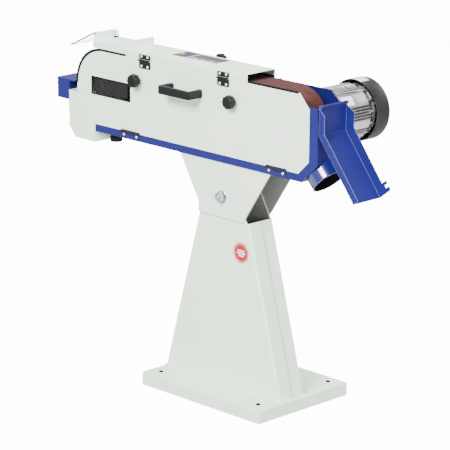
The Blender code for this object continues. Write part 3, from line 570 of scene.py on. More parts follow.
def threadedRod(start, axis, radius, length, pitch=1.75):
    # radius follows a sine of height minus the angle's share of one pitch, so the ridges wind round
    angle = circle(24)
    axis, ring = ringAbout(axis, angle)
    height = np.linspace(0, length, max(6, int(length / pitch * 5)))
    phase = height[:, None] / pitch * 2 * math.pi - angle[None]
    fade = np.clip(np.minimum(height, length - height) / pitch, 0.3, 1)[:, None]
    size = (radius - 0.35 + 0.35 * np.sin(phase)) * (0.93 + 0.07 * fade)
    return gridShell(np.asarray(start) + size[..., None] * ring + height[:, None, None] * axis)


pivot = {"thread": 8.0, "shank": 114, "flats": 24.0, "nutHeight": 13.0, "headHeight": 10.0}


def makePivot():
    centre, _, nutHigh = centreOf("pivot_nut")
    _, boltLow, boltHigh = centreOf("pivot_bolt")
    x, y, z = centre.x, nutHigh.y, centre.z
    nut = hexBolt((x, y, z), toFront, pivot["flats"], pivot["nutHeight"])
    standIn("pivot_nut", [nut], "brightZinc")
    bolt = [threadedRod((x, y - 2, z), toFront, pivot["thread"], y - 2 - boltLow.y),
            turn(band(0, pivot["thread"], 0, pivot["shank"]), (x, y - 3, z), toBack, 32),
            hexBolt((x, boltHigh.y - pivot["headHeight"], z), toBack, pivot["flats"],
                    pivot["headHeight"])]
    standIn("pivot_bolt", bolt, "brightZinc")
    rim = [(8.5, 0.2), (8.5, 2.8), (8.8, 3.0), (16.5, 3.0), (17.0, 2.6), (17.0, 0.4), (16.5, 0.0),
           (8.8, 0.0)]
    for side in ("front", "back"):
        node = "pivot_washer_" + side
        base = (x, centreOf(node)[1].y, z)
        standIn(node, [turn(rim, base, toBack, 48, looped=True)], "brightZinc")


makeStand()
makePivot()
print("stand and pivot ready")

sheets = {"frameFold": 3.0, "boxFold": 2.0, "guardFold": 1.6, "restFold": 2.4, "coverFold": 1.4,
          "coverTop": 914.5, "doorFace": -93.3,
          # name: (eased edge, widest bevel)
          "castings": {"motor_flange": (1.2, 1.2), "wheel_fork": (1.0, 1.5), "platen": (0.8, 0.8),
                       "fork_guide_block": (1.0, 1.0), "tension_lever": (1.0, 1.0),
                       "drive_drum": (1.0, 1.0), "contact_wheel_hub": (0.8, 0.8)}}
nozzle = {"mouth": (341.0, -41.0, 664.0), "axis": (0.695, 0.0, -0.719), "radius": 47.0}


def makeSheets():
    # the bracket's inside faces take the darker white as painted shade
    easedCopy("pivot_bracket", 0.5, stand["bracketFold"], lambda middle, along: middle.x < -90
              and abs(along.y) < 0.2 and middle.z > 508 and abs(along.z) > 0.4,
              lambda middle, normal: -84 < middle.y < 11 and abs(middle.z - 659) > 3
              and normal.z < 0.9)
    easedCopy("frame_shell", 0.5, sheets["frameFold"])
    # the back plate's front face takes the darker blue as painted shade
    easedCopy("frame_back_plate", 0.6, sheets["frameFold"],
              inner=lambda middle, normal: normal.y < -0.9, shadeFinish="shadedBlue")
    easedCopy("door_panel", 0.35, 1.5)
    easedCopy("spark_box", 0.4, sheets["boxFold"], lambda middle, along: abs(middle.y + 93) < 0.3
              and middle.z < 761 and middle.x < -506)
    # the rest's right-hand and under faces take the darker blue as painted shade
    easedCopy("work_rest", 0.6, sheets["restFold"],
              lambda middle, along: abs(along.x) > 0.9 and middle.z > 789.5,
              lambda middle, normal: normal.x > 0.9 or normal.z < -0.9, "shadedBlue")
    easedCopy("wheel_hood", 0.4, sheets["coverFold"],
              lambda middle, along: abs(along.x) > 0.9 and middle.z > 914)
    # the cover's underside and the insides of its flanges take the darker white as painted shade
    easedCopy("top_cover", 0.4, sheets["coverFold"],
              lambda middle, along: abs(along.x) > 0.9 and 914 < middle.z < 915,
              lambda middle, normal: normal.z < -0.9 and middle.z > 905
              or middle.y > 0 and normal.y < -0.9 or middle.y < -85 and normal.y > 0.9)
    easedCopy("rear_guard", 0.4, sheets["guardFold"], outerFinish="guardBlue")
    easedCopy("visor_bracket", 0.35, 1.2, outerFinish="paleSheet")
    for node, (width, widest) in sheets["castings"].items():
        easedCopy(node, width, widest)
    mouth, along = Vector(nozzle["mouth"]), Vector(nozzle["axis"])

    def towardsAxis(middle, normal):
        return (middle - mouth - along * (middle - mouth).dot(along)).dot(normal) < -10

    easedCopy("dust_nozzle", 0.4, 0.8, None, towardsAxis, "ductShadow", 40, "glossBlue")


def panHead(spot, axis, radius, height, socket=True):
    # a domed head: height falls as a cosine from the middle, with a shallow round drive well
    rise = [(radius, 0), (radius, height * 0.35), (radius * 0.92, height * 0.68),
            (radius * 0.72, height * 0.92)]
    if socket:
        rise += [(radius * 0.46, height), (radius * 0.42, height * 0.92),
                 (radius * 0.36, height * 0.45)]
    else:
        rise += [(radius * 0.4, height)]
    return turn([(0, 0)] + rise + [(0, rise[-1][1])], spot, axis, 20)


fasteners = {"rivetSpots": (-386, -336, 174, 226), "rivetZ": 697, "rivet": (2.6, 1.0),
             "flangeCircle": 69, "flangeFace": 20.1, "bracketSpots": (-280, -150, -20),
             "bracketFace": 0.6, "bracketZ": 850, "flats": 10}


def makeFasteners():
    rivets = [panHead((x, sheets["doorFace"] + 0.3, fasteners["rivetZ"]), toFront,
                      *fasteners["rivet"], False) for x in fasteners["rivetSpots"]]
    makePiece("doorRivets", rivets, "brightZinc", "door_panel")
    centre = centreOf("motor_flange")[0]
    bolts = []
    for angle in np.radians((45, 135, 225, 315)):
        spot = (centre.x + fasteners["flangeCircle"] * math.cos(angle), fasteners["flangeFace"],
                centre.z + fasteners["flangeCircle"] * math.sin(angle))
        bolts.append(hexBolt(spot, toBack, fasteners["flats"], 6))
    makePiece("flangeBolts", bolts, "brightZinc", "motor_flange")
    makePiece("bracketScrews", [hexBolt((x, fasteners["bracketFace"], fasteners["bracketZ"]),
                                        toFront, fasteners["flats"], 5)
                                for x in fasteners["bracketSpots"]],
              "brightZinc", "platen_bracket")


hinges = {"leafWidth": 44.0, "cornerRadius": 3.0, "knuckle": 3.0, "pinY": -96.5, "pinZ": 891.5,
          "knuckles": ((-22, -8.2), (-7.8, 7.8), (8.2, 22)), "screw": (3.7, 0.9),
          "screwSpread": 12.0, "lowScrewZ": 875.5, "topScrewZ": 902.8, "baseHeight": 20.2,
          "baseZ": 879.3, "leafHeight": 12.6, "leafZ": 901.6, "rib": (30, 2.4, 1.1),
          "ribZ": 886.2, "plateThick": 2.0}
doorHinges = {"knuckles": ((-37, -13.2), (-12.8, 12.8), (13.2, 37)), "knuckle": 3.4,
              "pinY": -95.2, "pinZ": 680.5, "leaf": (74, 16.4, 1.2), "leafY": -91.5, "leafZ": 671.3,
              "screw": (3.6, 1.6), "screwSpread": 25, "screwY": -93.5, "screwZ": 672.5}


def screwPair(x, y, z, spread, screw):
    return [panHead((x + shift, y, z), toFront, *screw) for shift in (-spread, spread)]


def makeCoverHinges():
    face, screwY = sheets["doorFace"], sheets["doorFace"] - 2.0
    for side in ("left", "right"):
        base, leaf = "cover_hinge_base_" + side, "cover_hinge_leaf_" + side
        x = centreOf(base)[0].x
        spot = (x, hinges["pinY"], hinges["pinZ"])
        plate, top = (frontSlab(hinges["leafWidth"], hinges[part + "Height"],
                                hinges["cornerRadius"], (x, face, hinges[part + "Z"]),
                                hinges["plateThick"], 0.5) for part in ("base", "leaf"))
        barrel = [barrelOf(start, end, hinges["knuckle"], spot, toRight, 0.5)
                  for start, end in hinges["knuckles"]]
        pin = barrelOf(-22.8, 22.8, 1.6, spot, toRight, 0.4, 0.6, 16)
        rib = frontSlab(*hinges["rib"], (x, face - 1.9, hinges["ribZ"]), 1.0)
        standIn(base, [plate, *barrel, rib, (*pin, "brightZinc")], "mouldedBlack")
        standIn(leaf, [top], "mouldedBlack")
        for name, z, node in (("Screws", hinges["lowScrewZ"], base),
                              ("TopScrews", hinges["topScrewZ"], leaf)):
            heads = screwPair(x, screwY, z, hinges["screwSpread"], hinges["screw"])
            makePiece("coverHinge" + name + side.title(), heads, "whiteRivet", node)


def makeDoorHinges():
    for side in ("left", "right"):
        node = "door_hinge_" + side
        x = centreOf(node)[0].x
        spot = (x, doorHinges["pinY"], doorHinges["pinZ"])
        barrel = [barrelOf(start, end, doorHinges["knuckle"], spot, toRight)
                  for start, end in doorHinges["knuckles"]]
        leaf = frontSlab(*doorHinges["leaf"], (x, doorHinges["leafY"], doorHinges["leafZ"]), 2.0)
        standIn(node, [*barrel, (*leaf, "blueEnamel")], "blackedSteel")
        heads = screwPair(x, doorHinges["screwY"], doorHinges["screwZ"],
                          doorHinges["screwSpread"], doorHinges["screw"])
        makePiece("doorHingeScrews" + side.title(), heads, "whiteRivet", node)


makeSheets()
print("sheet metal ready")
makeFasteners()
makeCoverHinges()
makeDoorHinges()
print("fasteners and hinges ready")

knob = {"lobes": 9, "lobeDepth": 0.8, "radius": 18.2, "stem": 7, "knurls": 24}


def starKnob(node, axis):
    # the rim's radius swings with the cosine of the angle times the number of lobes
    centre, low, high = centreOf(node)
    face = high.y - knob["stem"] if axis[1] < 0 else low.y + knob["stem"]
    size, depth = knob["radius"], knob["lobeDepth"]
    profile = [(0, -7), (4.0, -7), (4.4, -6.6), (4.4, 0.4), (8.6, 0.4), (9.0, 0.8), (9.2, 6.5),
               (10.5, 8.4, 0.2), (14.5, 9.0, depth * 0.7), (size - 0.6, 9.8, depth),
               (size, 11.5, depth), (size + 0.1, 17, depth), (size - 0.3, 23, depth),
               (size - 1.8, 26.2, depth), (size - 4.5, 27.6, depth * 0.8), (10, 27.9, 0.3),
               (8.6, 27.3), (4, 27.6), (0, 27.8)]
    shell = turn(profile, (centre.x, face, centre.z), axis, 112,
                 lambda angle: np.cos(angle * knob["lobes"]))
    standIn(node, [shell], "mouldedBlack", 50)


def makeKnobs():
    starKnob("door_knob_left", toFront)
    starKnob("door_knob_right", toFront)
    starKnob("cover_knob", toBack)
    centre = centreOf("tracking_knob")[0]
    grip = [(0, 628), (12, 628), (15.5, 628.6, 0.5), (16.8, 630.2, 0.7), (16.9, 642, 0.7),
            (16.2, 644.2, 0.6), (14, 645), (5, 645), (5, 646)]
    screw = [(4.0, 646), (4.0, 681.4), (3.4, 682), (0, 682)]
    shell = turn(grip + screw, (centre.x, centre.y, 0), toTop, 120,
                 lambda angle: np.cos(angle * knob["knurls"]))
    standIn("tracking_knob", [shell], "mouldedBlack", 45)


handle = {"left": -200.0, "right": -77.0, "standOff": 50.0, "thick": 11.0, "height": 22.5,
          "corner": 4.0, "middleZ": 835.5}


def makeHandle():
    # a rounded bar carried out from the door, along and back, its corners quarter circles
    half, corner, z = handle["thick"] / 2, handle["corner"], handle["middleZ"]
    left, right = handle["left"] + half, handle["right"] - half
    face = sheets["doorFace"]
    out = face - handle["standOff"] + half
    sweep = np.linspace(0, math.pi / 2, 9)
    depth = out + corner - corner * np.sin(sweep)
    first = np.stack((left + corner - corner * np.cos(sweep), depth), -1)
    depth = out + corner - corner * np.cos(sweep)
    second = np.stack((right - corner + corner * np.sin(sweep), depth), -1)
    straight = np.linspace((left + corner, out), (right - corner, out), 14)[1:-1]
    flat = np.concatenate((np.linspace((left, face), (left, out + corner), 6)[:-1], first,
                           straight, second,
                           np.linspace((right, out + corner), (right, face), 6)[1:]))
    path = np.column_stack((flat, np.full(len(flat), z)))
    bar = carry(path, roundRect(handle["height"], handle["thick"], 1.8, 6), toTop)
    feet = [frontSlab(17, 23, 4, (x, face, z), 3.0, 1.0) for x in (left + 1.5, right - 1.5)]
    # a flat dark patch at the bar's right end, painted shade for a recess there
    endShade = frontSlab(19, 15, 1.5, (right - 8, out - half, z), 0.5, 0.2)
    standIn("door_handle", [bar, *feet, (*endShade, "ductShadow")], "mouldedBlack", 40)


makeKnobs()
makeHandle()
print("knobs and handle ready")

motor = {"x": 202.0, "z": 792.0, "bore": 56.0, "rim": 62.0, "finRoot": 66.5, "finTip": 76.8,
         "finPitch": 6.0, "finShare": 0.23, "flangeRadius": 68.5,
         "pads": ((38, 14), (-16, 9), (128, 14), (218, 14), (308, 9), (90, 5)),  # (middle, half)
         "bossCircle": 72, "bosses": 8,
         # bent plates: (sweep, steps, two radii, edges along the axis)
         "blankPlate": ((28, 48), 12, (77.2, 77.7), (90, 92, 128, 130)),
         # the clip row is the pale patch bent over the fan cover's top
         "clip": ((72, 98), 16, (85.4, 86.6), (198, 200, 230, 232))}
motorLine = (motor["x"], 0, motor["z"])


def roundMotor(radius, angle, y):
    # points at a radius and an angle about the motor's axis
    return xyz(motor["x"] + radius * np.cos(angle), y, motor["z"] + radius * np.sin(angle))


def arcPatch(sweep, steps, radii, edges):
    # a thin patch bent round the motor's axis between two radii
    angle = np.radians(np.linspace(*sweep, steps))
    lower, upper = (np.stack([roundMotor(radius, angle, y) for y in edges]) for radius in radii)
    return gridShell(np.moveaxis(np.concatenate((lower, upper[::-1])), 0, 1))


def finRadius(angle):
    # narrow ribs with rounded tips between a low drum and smooth raised pads
    degrees = np.degrees(angle)
    phase = np.abs((degrees / motor["finPitch"]) % 1.0 - 0.5) * 2
    rib = np.clip((motor["finShare"] * 1.6 - (1 - phase)) / (motor["finShare"] * 0.6), 0, 1)
    radius = motor["finRoot"] + (motor["finTip"] - motor["finRoot"]) * np.sqrt(rib)
    for centre, half in motor["pads"]:
        away = np.abs((degrees - centre + 180) % 360 - 180)
        pad = motor["finTip"] - 0.6 + 0.5 * np.cos(away / half * math.pi / 2)
        radius = np.where(away < half, pad, radius)
    return radius


def makeMotor():
    # rows of points run from the bore out over the flange, along the fins and in at the rear rim;
    # the faces deep between the fins and in the gap before the cover are painted dark as shade
    angle = circle(1440)
    tread = finRadius(angle)
    fins = np.degrees(angle) / motor["finPitch"]
    ribs = np.where((np.abs(fins % 1.0 - 0.5) < 0.3) & (fins // 1 % 4 == 1),
                    motor["finTip"] - 0.5, motor["rim"])
    rows = [(20.3, motor["bore"])]
    rows += [(y, motor["flangeRadius"] + (tread - motor["flangeRadius"]) * share)
             for y, share in ((20.3, 0.0), (21.5, 0.55), (24, 0.85), (30, 1.0), (184, 1.0))]
    rows += [(187, ribs), (200, ribs), (206, motor["rim"]), (206, motor["bore"])]
    shell = gridShell(np.array([roundMotor(radius, angle, y) for y, radius in rows]), looped=True)
    housing = standIn("motor_housing", [shell], "castAluminium", 50)
    housing.data.materials.append(finishes["finGapShade"])
    spots = np.array([polygon.center for polygon in housing.data.polygons]) / mm
    reach = np.hypot(spots[:, 0] - motor["x"], spots[:, 2] - motor["z"])
    deep = ((reach < motor["finRoot"] + 0.9) & (spots[:, 1] > 27)
            | (reach < motor["finTip"] - 3) & (spots[:, 1] > 186))
    housing.data.polygons.foreach_set("material_index", deep.astype(int))
    bosses = [turn([(0, 0), (2.8, 0), (3.0, 0.4), (3.0, 13), (0, 13)],
                   roundMotor(motor["bossCircle"], math.radians(22.5) + start, 200.0), toBack, 12)
              for start in circle(motor["bosses"])]
    shield = turn([(15, 206.3), (67, 206.3), (69.5, 207.5), (70, 210), (69, 213.5), (60, 214),
                   (30, 214), (15, 214)], motorLine, toBack, 96, looped=True)
    standIn("motor_end_shield", [shield], "castAluminium")
    makePiece("coverBosses", bosses, "castAluminium", "motor_end_shield")
    makePiece("blankPlate", [arcPatch(*motor["blankPlate"])], "labelPale", "motor_housing")


fanCover = {"radius": 85.0, "front": 201.0, "back": 256.0, "mouth": 63,
            "rings": (58, 50, 42, 34, 26), "spokes": 8, "screws": (60, 150, 240, 330)}


def makeFanCover():
    # a deep cup with a rolled front edge and a grille of rings and spokes in its back
    radius, rear, front, mouth = (fanCover[key] for key in ("radius", "back", "front", "mouth"))
    corner = np.linspace(0, math.pi / 2, 7)
    outside = [(radius - 7 + 7 * math.cos(a), rear - 7 + 7 * math.sin(a)) for a in corner]
    inside = [(radius - 8.5 + 7 * math.cos(a), rear - 9 + 7 * math.sin(a)) for a in corner[::-1]]
    lip = [(mouth + 1, rear), (mouth, rear - 0.5), (mouth, rear - 1.5), (mouth + 1, rear - 2.0)]
    profile = ([(radius - 1.6, front + 0.2), (radius - 0.4, front), (radius, front + 1)] + outside
               + lip + inside + [(radius - 1.8, front + 1.2)])
    shells = [turn(profile, motorLine, toBack, 128, looped=True)]
    shells += [turn([(ring - 1.3, 254.4), (ring, 253.6), (ring + 1.3, 254.4), (ring, 255.6)],
                    motorLine, toBack, 96, looped=True) for ring in fanCover["rings"]]
    shells.append(turn([(0, 253.4), (18, 253.4), (19.5, 254.2), (18.5, 255.6), (10, 256), (0, 256)],
                       motorLine, toBack, 64))
    for angle in circle(fanCover["spokes"]):
        path = roundMotor(np.linspace(17, 65, 6), angle, 254.2)
        shells.append(carry(path, roundRect(2.4, 1.6, 0.6, 3), toBack))
    standIn("fan_cover", shells, "darkGreyEnamel", 40)
    # a pale patch bent over the top of the cover
    makePiece("coverClip", [arcPatch(*motor["clip"])], "whiteRivet", "fan_cover")
    screws = []
    for angle in np.radians(fanCover["screws"]):
        heading = (math.cos(angle), 0, math.sin(angle))
        screws.append(panHead(roundMotor(radius - 0.2, angle, 208), heading, 3.4, 1.8))
    makePiece("fanCoverScrews", screws, "blackedSteel", "fan_cover")


fan = {"blades": 9, "shaft": 12.6, "hub": 24.0, "tip": 73.0, "lean": 0.25}


def makeFan():
    # a hub with upright blades that lean as they go out
    shells = [turn(band(fan["shaft"], fan["hub"], 218, 240), motorLine, toBack, 48, looped=True),
              turn(band(23, fan["tip"], 218, 220), motorLine, toBack, 64, looped=True)]
    reach = np.linspace(22, fan["tip"] - 1, 8)
    lean = fan["lean"] * ((reach - 22) / (fan["tip"] - 22)) ** 2
    for start in circle(fan["blades"]):
        shells.append(carry(roundMotor(reach, start + lean, 229.5), roundRect(20.5, 2.0, 0.8, 3),
                            toBack))
    standIn("cooling_fan", shells, "mouldedBlack", 40)


switch = {"edge": 3.0, "ringY": 100, "ringZ": (772, 812),
          # node: (height at the rim of the crown, height at its middle)
          "buttons": {"start_button": (10.45, 10.2), "stop_button": (10.95, 11.0)}}


def makeSwitchBox():
    easedCopy("switch_box", switch["edge"])
    toLeft = (-1, 0, 0)
    x = centreOf("switch_box")[1].x
    ring = [(13.2, 0), (15.8, 0), (15.8, 1.4), (15.0, 2.0), (13.6, 2.0), (13.2, 1.6)]
    makePiece("switchRings", [turn(ring, (x, switch["ringY"], z), toLeft, 48, looped=True)
                              for z in switch["ringZ"]], "blackedSteel", "switch_box")
    for node, (rim, middle) in switch["buttons"].items():
        centre, _, high = centreOf(node)
        crown = [(0, 0), (11.6, 0), (12, 0.4), (12, 9.0), (11.2, 10.2), (9.5, 10.7), (5, rim),
                 (0, middle)]
        shell = turn(crown, (high.x, centre.y, centre.z), toLeft, 48)
        standIn(node, [shell], finishOfSlot[slotOf[node]], 40)
    x, y = centreOf("cable_gland")[0][:2]
    collar = [(0, 735), (8, 735), (9.6, 736.2), (10.4, 739), (10.4, 741), (0, 741)]
    standIn("cable_gland", [hexBolt((x, y, 740), toTop, 22, 7.6),
                            turn(collar, (x, y, 0), toTop, 40)], "mouldedBlack")


makeMotor()
makeFanCover()
makeFan()
makeSwitchBox()
print("motor ready")

belt = {"inner": 100.3, "thick": 1.2, "drum": 202.0, "wheel": -484.0, "z": 792.0,
        "front": -77.0, "back": -2.0, "ragged": 0.12}


def makeBelt():
    # two half circles joined by straight runs, a thin band with a slightly ragged front edge
    half = np.radians(np.linspace(-90, 90, 49))
    drum, idler, z = belt["drum"], belt["wheel"], belt["z"]
    xs = np.linspace(drum, idler, 60)[1:-1]

    def loop(radius):
        level = np.full_like(xs, radius)
        return np.concatenate((
            np.stack((drum + radius * np.cos(half), z + radius * np.sin(half)), -1),
            np.stack((xs, z + level), -1),
            np.stack((idler - radius * np.cos(half), z - radius * np.sin(half)), -1),
            np.stack((xs[::-1], z - level), -1)))

    inner, outer = loop(belt["inner"]), loop(belt["inner"] + belt["thick"])
    widths = np.linspace(belt["front"], belt["back"], 10)
    ragged = belt["ragged"] * np.sin(np.arange(len(inner)) * 2.399)
    rows = [xyz(track[:, 0], y + ragged * (abs(y - belt["front"]) < 0.1), track[:, 1])
            for track, spots in ((outer, widths), (inner, widths[::-1])) for y in spots]
    standIn("sanding_belt", [gridShell(np.array(rows), looped=True)], "abrasiveGrit", 50)


wheel = {"centre": (belt["wheel"], 0, belt["z"]), "radius": 99.9, "inner": 86.1, "front": -76.9,
         "back": -2.1, "grooves": 54, "grooveDepth": 2.2, "slant": 2.0}


def makeTyre():
    # the tread's radius drops in narrow grooves that slant with the distance across the wheel
    angle = circle(wheel["grooves"] * 10)
    tracks = [(wheel["front"], wheel["inner"])]
    for y in np.linspace(wheel["front"], wheel["back"], 15):
        phase = (angle * wheel["grooves"] / (2 * math.pi) + y / 75 * wheel["slant"]) % 1.0
        drop = wheel["grooveDepth"] * np.clip((0.18 - np.abs(phase - 0.5)) / 0.06, 0, 1)
        tracks.append((y, wheel["radius"] - drop))
    tracks.append((wheel["back"], wheel["inner"]))
    rows = [xyz(radius * np.cos(angle), y, radius * np.sin(angle)) for y, radius in tracks]
    standIn("contact_wheel_tyre", [gridShell(np.array(rows) + wheel["centre"], looped=True)],
            "groundRubber", 50, "contactTyre")


def makeBearings():
    # two races and the cage between them, each a ring turned about the axle
    outerRace = [(14.8, 0.3), (17.2, 0), (17.4, 0.3), (17.4, 11.7), (17.2, 12), (14.8, 11.7)]
    innerRace = [(10.4, 0.3), (10.6, 0), (12.6, 0.3), (12.6, 11.7), (10.6, 12), (10.4, 11.7)]
    for side in ("front", "back"):
        node = "wheel_bearing_" + side
        base = (belt["wheel"], centreOf(node)[1].y, belt["z"])
        outer, inner, cage = (turn(profile, base, toBack, 48, looped=True) for profile in
                              (outerRace, innerRace, band(12.4, 15.0, 1.0, 1.8)))
        standIn(node, [outer, inner, (*cage, "mouldedBlack")], "machinedSteel")


spring = {"radius": 16.4, "wire": 1.6, "turns": 7.5, "start": -363.5, "end": -322.6, "y": -42}


def makeSpring():
    # a helix whose pitch closes up at both ends
    share = np.linspace(0, 1, 300)
    angle = share * spring["turns"] * 2 * math.pi
    ease = share - 0.06 * np.sin(2 * math.pi * share)
    length = spring["end"] - spring["start"] - 2 * spring["wire"]
    path = xyz(spring["start"] + spring["wire"] + length * ease,
               spring["y"] + spring["radius"] * np.cos(angle),
               belt["z"] + spring["radius"] * np.sin(angle))
    standIn("tension_spring", [carry(path, ringOf(spring["wire"], 10), toRight)],
            "machinedSteel")


makeBelt()
makeTyre()
makeBearings()
makeSpring()
print("belt and wheels ready")


def makeAxleCap():
    # a black disc over the axle's end with an upright slot beside its middle, the slot a flat patch
    # of painted shade
    x, y, z = belt["wheel"], centreOf("wheel_axle")[1].y, belt["z"]
    rim = [(0, 0), (13.5, 0), (14, 0.4), (13.6, 1.0), (0, 1.0)]
    disc = turn(rim, (x, y - 0.1, z), toFront, 40)
    slot = frontSlab(5, 17, 1.2, (x - 7, y - 1.1, z + 1), 0.4, 0.1)
    makePiece("axleCap", [disc, (*slot, "ductShadow")], "blackedSteel", "wheel_axle")


doorShade = {"x": -478.0, "y": -92.25, "top": 896.0, "radius": 100.0, "wide": 5.6, "shift": -1.2,
          "arc": (184, 90), "left": (-470.0, -378), "right": (94, 276),
          "window": (156, 48, 1.5), "windowSpot": (-438.5, 791.5)}


def makeDoorRimShade():
    # black strips of painted shade along the sheet's rim, for the dark gap and shaded inside behind
    # it: round the wheel's arc and along the top, thicker on the arc
    top, radius, y = doorShade["top"], doorShade["radius"], doorShade["y"]
    sweep = np.radians(np.linspace(*doorShade["arc"], 40))
    xs = np.concatenate((doorShade["x"] + radius * np.cos(sweep), np.linspace(*doorShade["left"], 12)))
    zs = np.concatenate((top - radius + radius * np.sin(sweep), np.full(12, top)))
    rise = np.clip(np.sin((sweep - math.pi / 2) * 1.9), 0, 1) ** 0.5
    swell = np.concatenate((1 + 0.5 * rise, np.ones(12)))
    section = roundRect(3.2, doorShade["wide"], 0.6, 3) + (0, doorShade["shift"])
    right = xyz(np.linspace(*doorShade["right"], 16), y, top)
    makePiece("doorEdging", [carry(xyz(xs, y, zs), section, toBack, scale=swell),
                             carry(right, section, toBack)],
              "ductShadow", "door_panel")
    # a dark rim of painted shade round the window
    holeX, holeZ = (roundRect(*doorShade["window"], 4) + doorShade["windowSpot"]).T
    windowShade = carry(xyz(holeX, y, holeZ), roundRect(3.0, 3.8, 0.6, 3), toBack, closed=True)
    makePiece("windowRimShade", [windowShade], "ductShadow", "door_panel")


seal = {"y": 11.25, "z": 893.8, "run": (-374, 90), "wide": 1.5, "high": 9.0}


def makeCoverSeal():
    # a rubber strip closing the gap between the cover's back flange and the back plate
    path = xyz(np.linspace(*seal["run"], 24), seal["y"], seal["z"])
    makePiece("coverSeal", [carry(path, roundRect(seal["wide"], seal["high"], 0.5, 3), toBack)],
              "groundRubber", "top_cover")


visor = {"low": (-607.0, 890.0), "high": (-513.4, 935.5), "front": -91.0, "back": -14.0,
         "thick": 2.0, "corner": 9.0, "hinge": (-510.2, 0, 937.0),
         "barrels": ((-86, -60), (-40, -14)),
         # small blocks: (outline, place, length, edge)
         "block": ((10, 20, 1.5), (-510.0, -9.0, 925.5), 9.0, 0.8),
         "strip": ((9, 4.5, 1.0), (-509.0, -16.2, 917.5), 14.0, 0.6)}


def makeVisor():
    # a flat pane with two rounded lower corners; its rim is darker where light leaves the edge
    low, high = np.array(visor["low"]), np.array(visor["high"])
    corner, thick, width = visor["corner"], visor["thick"], visor["back"] - visor["front"]
    length = np.linalg.norm(high - low)
    along = np.array(((high - low)[0] / length, 0, (high - low)[1] / length))
    normal = np.cross(along, toBack)
    sweep = np.linspace(0, math.pi / 2, 8)
    inset, rise = corner - corner * np.cos(sweep), corner - corner * np.sin(sweep)
    outline = np.concatenate(([(length, width), (length, 0)], np.stack((inset, rise), -1)[::-1],
                              np.stack((inset, width - rise), -1)))
    flat = (np.array((low[0], visor["front"], low[1])) + outline[:, :1] * along
            + outline[:, 1:] * np.array(toBack))
    pane = standIn("visor_pane", [gridShell(np.array([flat, flat + thick * normal]))],
                   "clearSheet")
    pane.data.materials.append(finishes["sheetEdge"])
    for polygon in pane.data.polygons:
        if abs(np.dot(np.array(polygon.normal), normal)) < 0.7:
            polygon.material_index = 1
    sideX, sideZ = np.linspace(low, high, 8).T
    rim = xyz(sideX, visor["front"] + 0.9, sideZ)
    edge = carry(rim + normal * thick / 2, roundRect(3.0, 3.8, 0.8, 3), toBack)
    makePiece("visorEdging", [edge], "ductShadow", "visor_pane")
    barrels = [barrelOf(start, end, 3.4, visor["hinge"], toBack)
               for start, end in visor["barrels"]]
    knuckle = turn([(0, -90.5), (2.6, -90.5), (3.2, -90), (3.2, -86.4), (0, -86.4)],
                   visor["hinge"], toBack, 20)
    makePiece("visorBarrels", [*barrels, (*knuckle, "blackedSteel")], "paleSheet",
              "visor_bracket")
    block, strip = (slab(roundRect(*outline), spot, toBack, toRight, length, edge)
                    for outline, spot, length, edge in (visor["block"], visor["strip"]))
    makePiece("visorStop", [block, (*strip, "mouldedBlack")], "paleSheet", "wheel_hood")


def makeNozzleTrim():
    # a small rolled lip turned about the pipe's axis
    radius = nozzle["radius"]
    rim = turn([(radius - 2.2, -2.0), (radius - 2.4, -0.4), (radius - 1.4, 0.5),
                (radius + 0.4, 0.4), (radius + 0.9, -0.8), (radius + 0.2, -2.2)],
               nozzle["mouth"], nozzle["axis"], 72, looped=True)
    makePiece("nozzleRim", [rim], "glossBlue", "dust_nozzle")


seams = {"front": -88.6, "back": 15.6, "top": 659.4, "run": (-168, 172), "hoodX": -377.0}


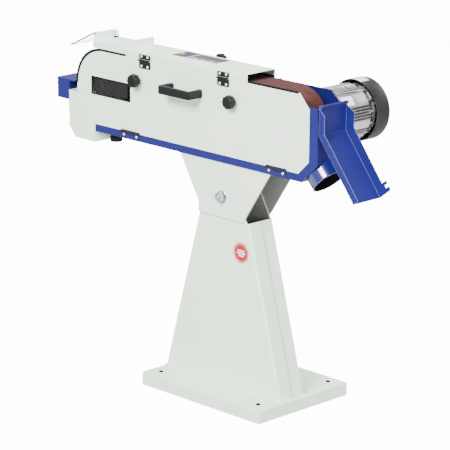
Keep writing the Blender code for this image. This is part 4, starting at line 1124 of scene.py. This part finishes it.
def makeSeams():
    # weld beads where the bracket meets the frame, and a dark line of painted shade in the gap
    # between hood and cover
    left, right = seams["run"]
    beads = [weldBead([(left, y, seams["top"]), (right, y, seams["top"])], stand["seamWeld"])
             for y in (seams["front"], seams["back"])]
    makePiece("bracketWeld", beads, "greyWhiteEnamel", "pivot_bracket")
    line = frontSlab(0.9, 15.6, 0.3, (seams["hoodX"], -93.0, 906.4), 0.12, 0.03, 3)
    makePiece("hoodSeamShade", [line], "shadedInnerEnamel", "wheel_hood")


sticker = {"spot": (65.0, -82.7, 422.0), "radius": 28.0, "ring": 3.2,
           "bars": ((26, 6), (32, -1), (20, -8))}  # (length, height over the middle)


def makeSticker():
    # a plain round label: a disc, a thin ring and three short bars
    (x, face, z), radius = sticker["spot"], sticker["radius"]
    outer = radius - sticker["ring"]
    disc = turn(band(0, radius, 0, 0.15), (x, face, z), toFront, 64)
    ring = turn(band(outer - 1, outer, 0.1, 0.25), (x, face, z), toFront, 64, looped=True)
    bars = [frontSlab(width, 4.0, 1.0, (x, face - 0.1, z + rise), 0.16, 0.05, 3)
            for width, rise in sticker["bars"]]
    makePiece("columnSticker", [disc] + [(*shell, "labelPale") for shell in (ring, *bars)],
              "labelRed", "column_front_shell")


labels = {  # plain blocks of colour: (width, depth, corner, x, y, lift, finish)
    "blocks": [(52, 62, 4, -205, -28, 0, "labelGrey"), (112, 40, 3, -118, -20, 0, "labelGrey"),
               (118, 15, 2, -121, -49, 0, "labelPale")],
    "redBlocks": [(26, 13, 1.5, -164 + 30 * step, -49, 0.12, "labelRed") for step in range(4)],
    # plain shapes: (radius, x, y, sides, finish)
    "shapes": [(9, -219, -28, 3, "labelYellow")] + [(7.6, x, y, 32, "labelBlue")
                                                    for y in (-18, -38) for x in (-205, -188)]}


def makeLabels():
    top = sheets["coverTop"]

    def block(width, depth, radius, x, y, lift, finish):
        return (*slab(roundRect(width, depth, radius, 4), (x, y, top + 0.02 + lift), toTop,
                      toRight, 0.16, 0.04), finish)

    shells = [block(*row) for row in labels["blocks"]]
    shells += [(*turn(band(0, radius, 0, 0.2), (x, y, top + 0.1), toTop, sides), finish)
               for radius, x, y, sides, finish in labels["shapes"]]
    shells += [block(*row) for row in labels["redBlocks"]]
    makePiece("coverLabels", shells, "labelPale", "top_cover")


makeAxleCap()
makeDoorRimShade()
makeCoverSeal()
makeVisor()
makeNozzleTrim()
makeSeams()
makeSticker()
makeLabels()
print("visor, nozzle and labels ready")
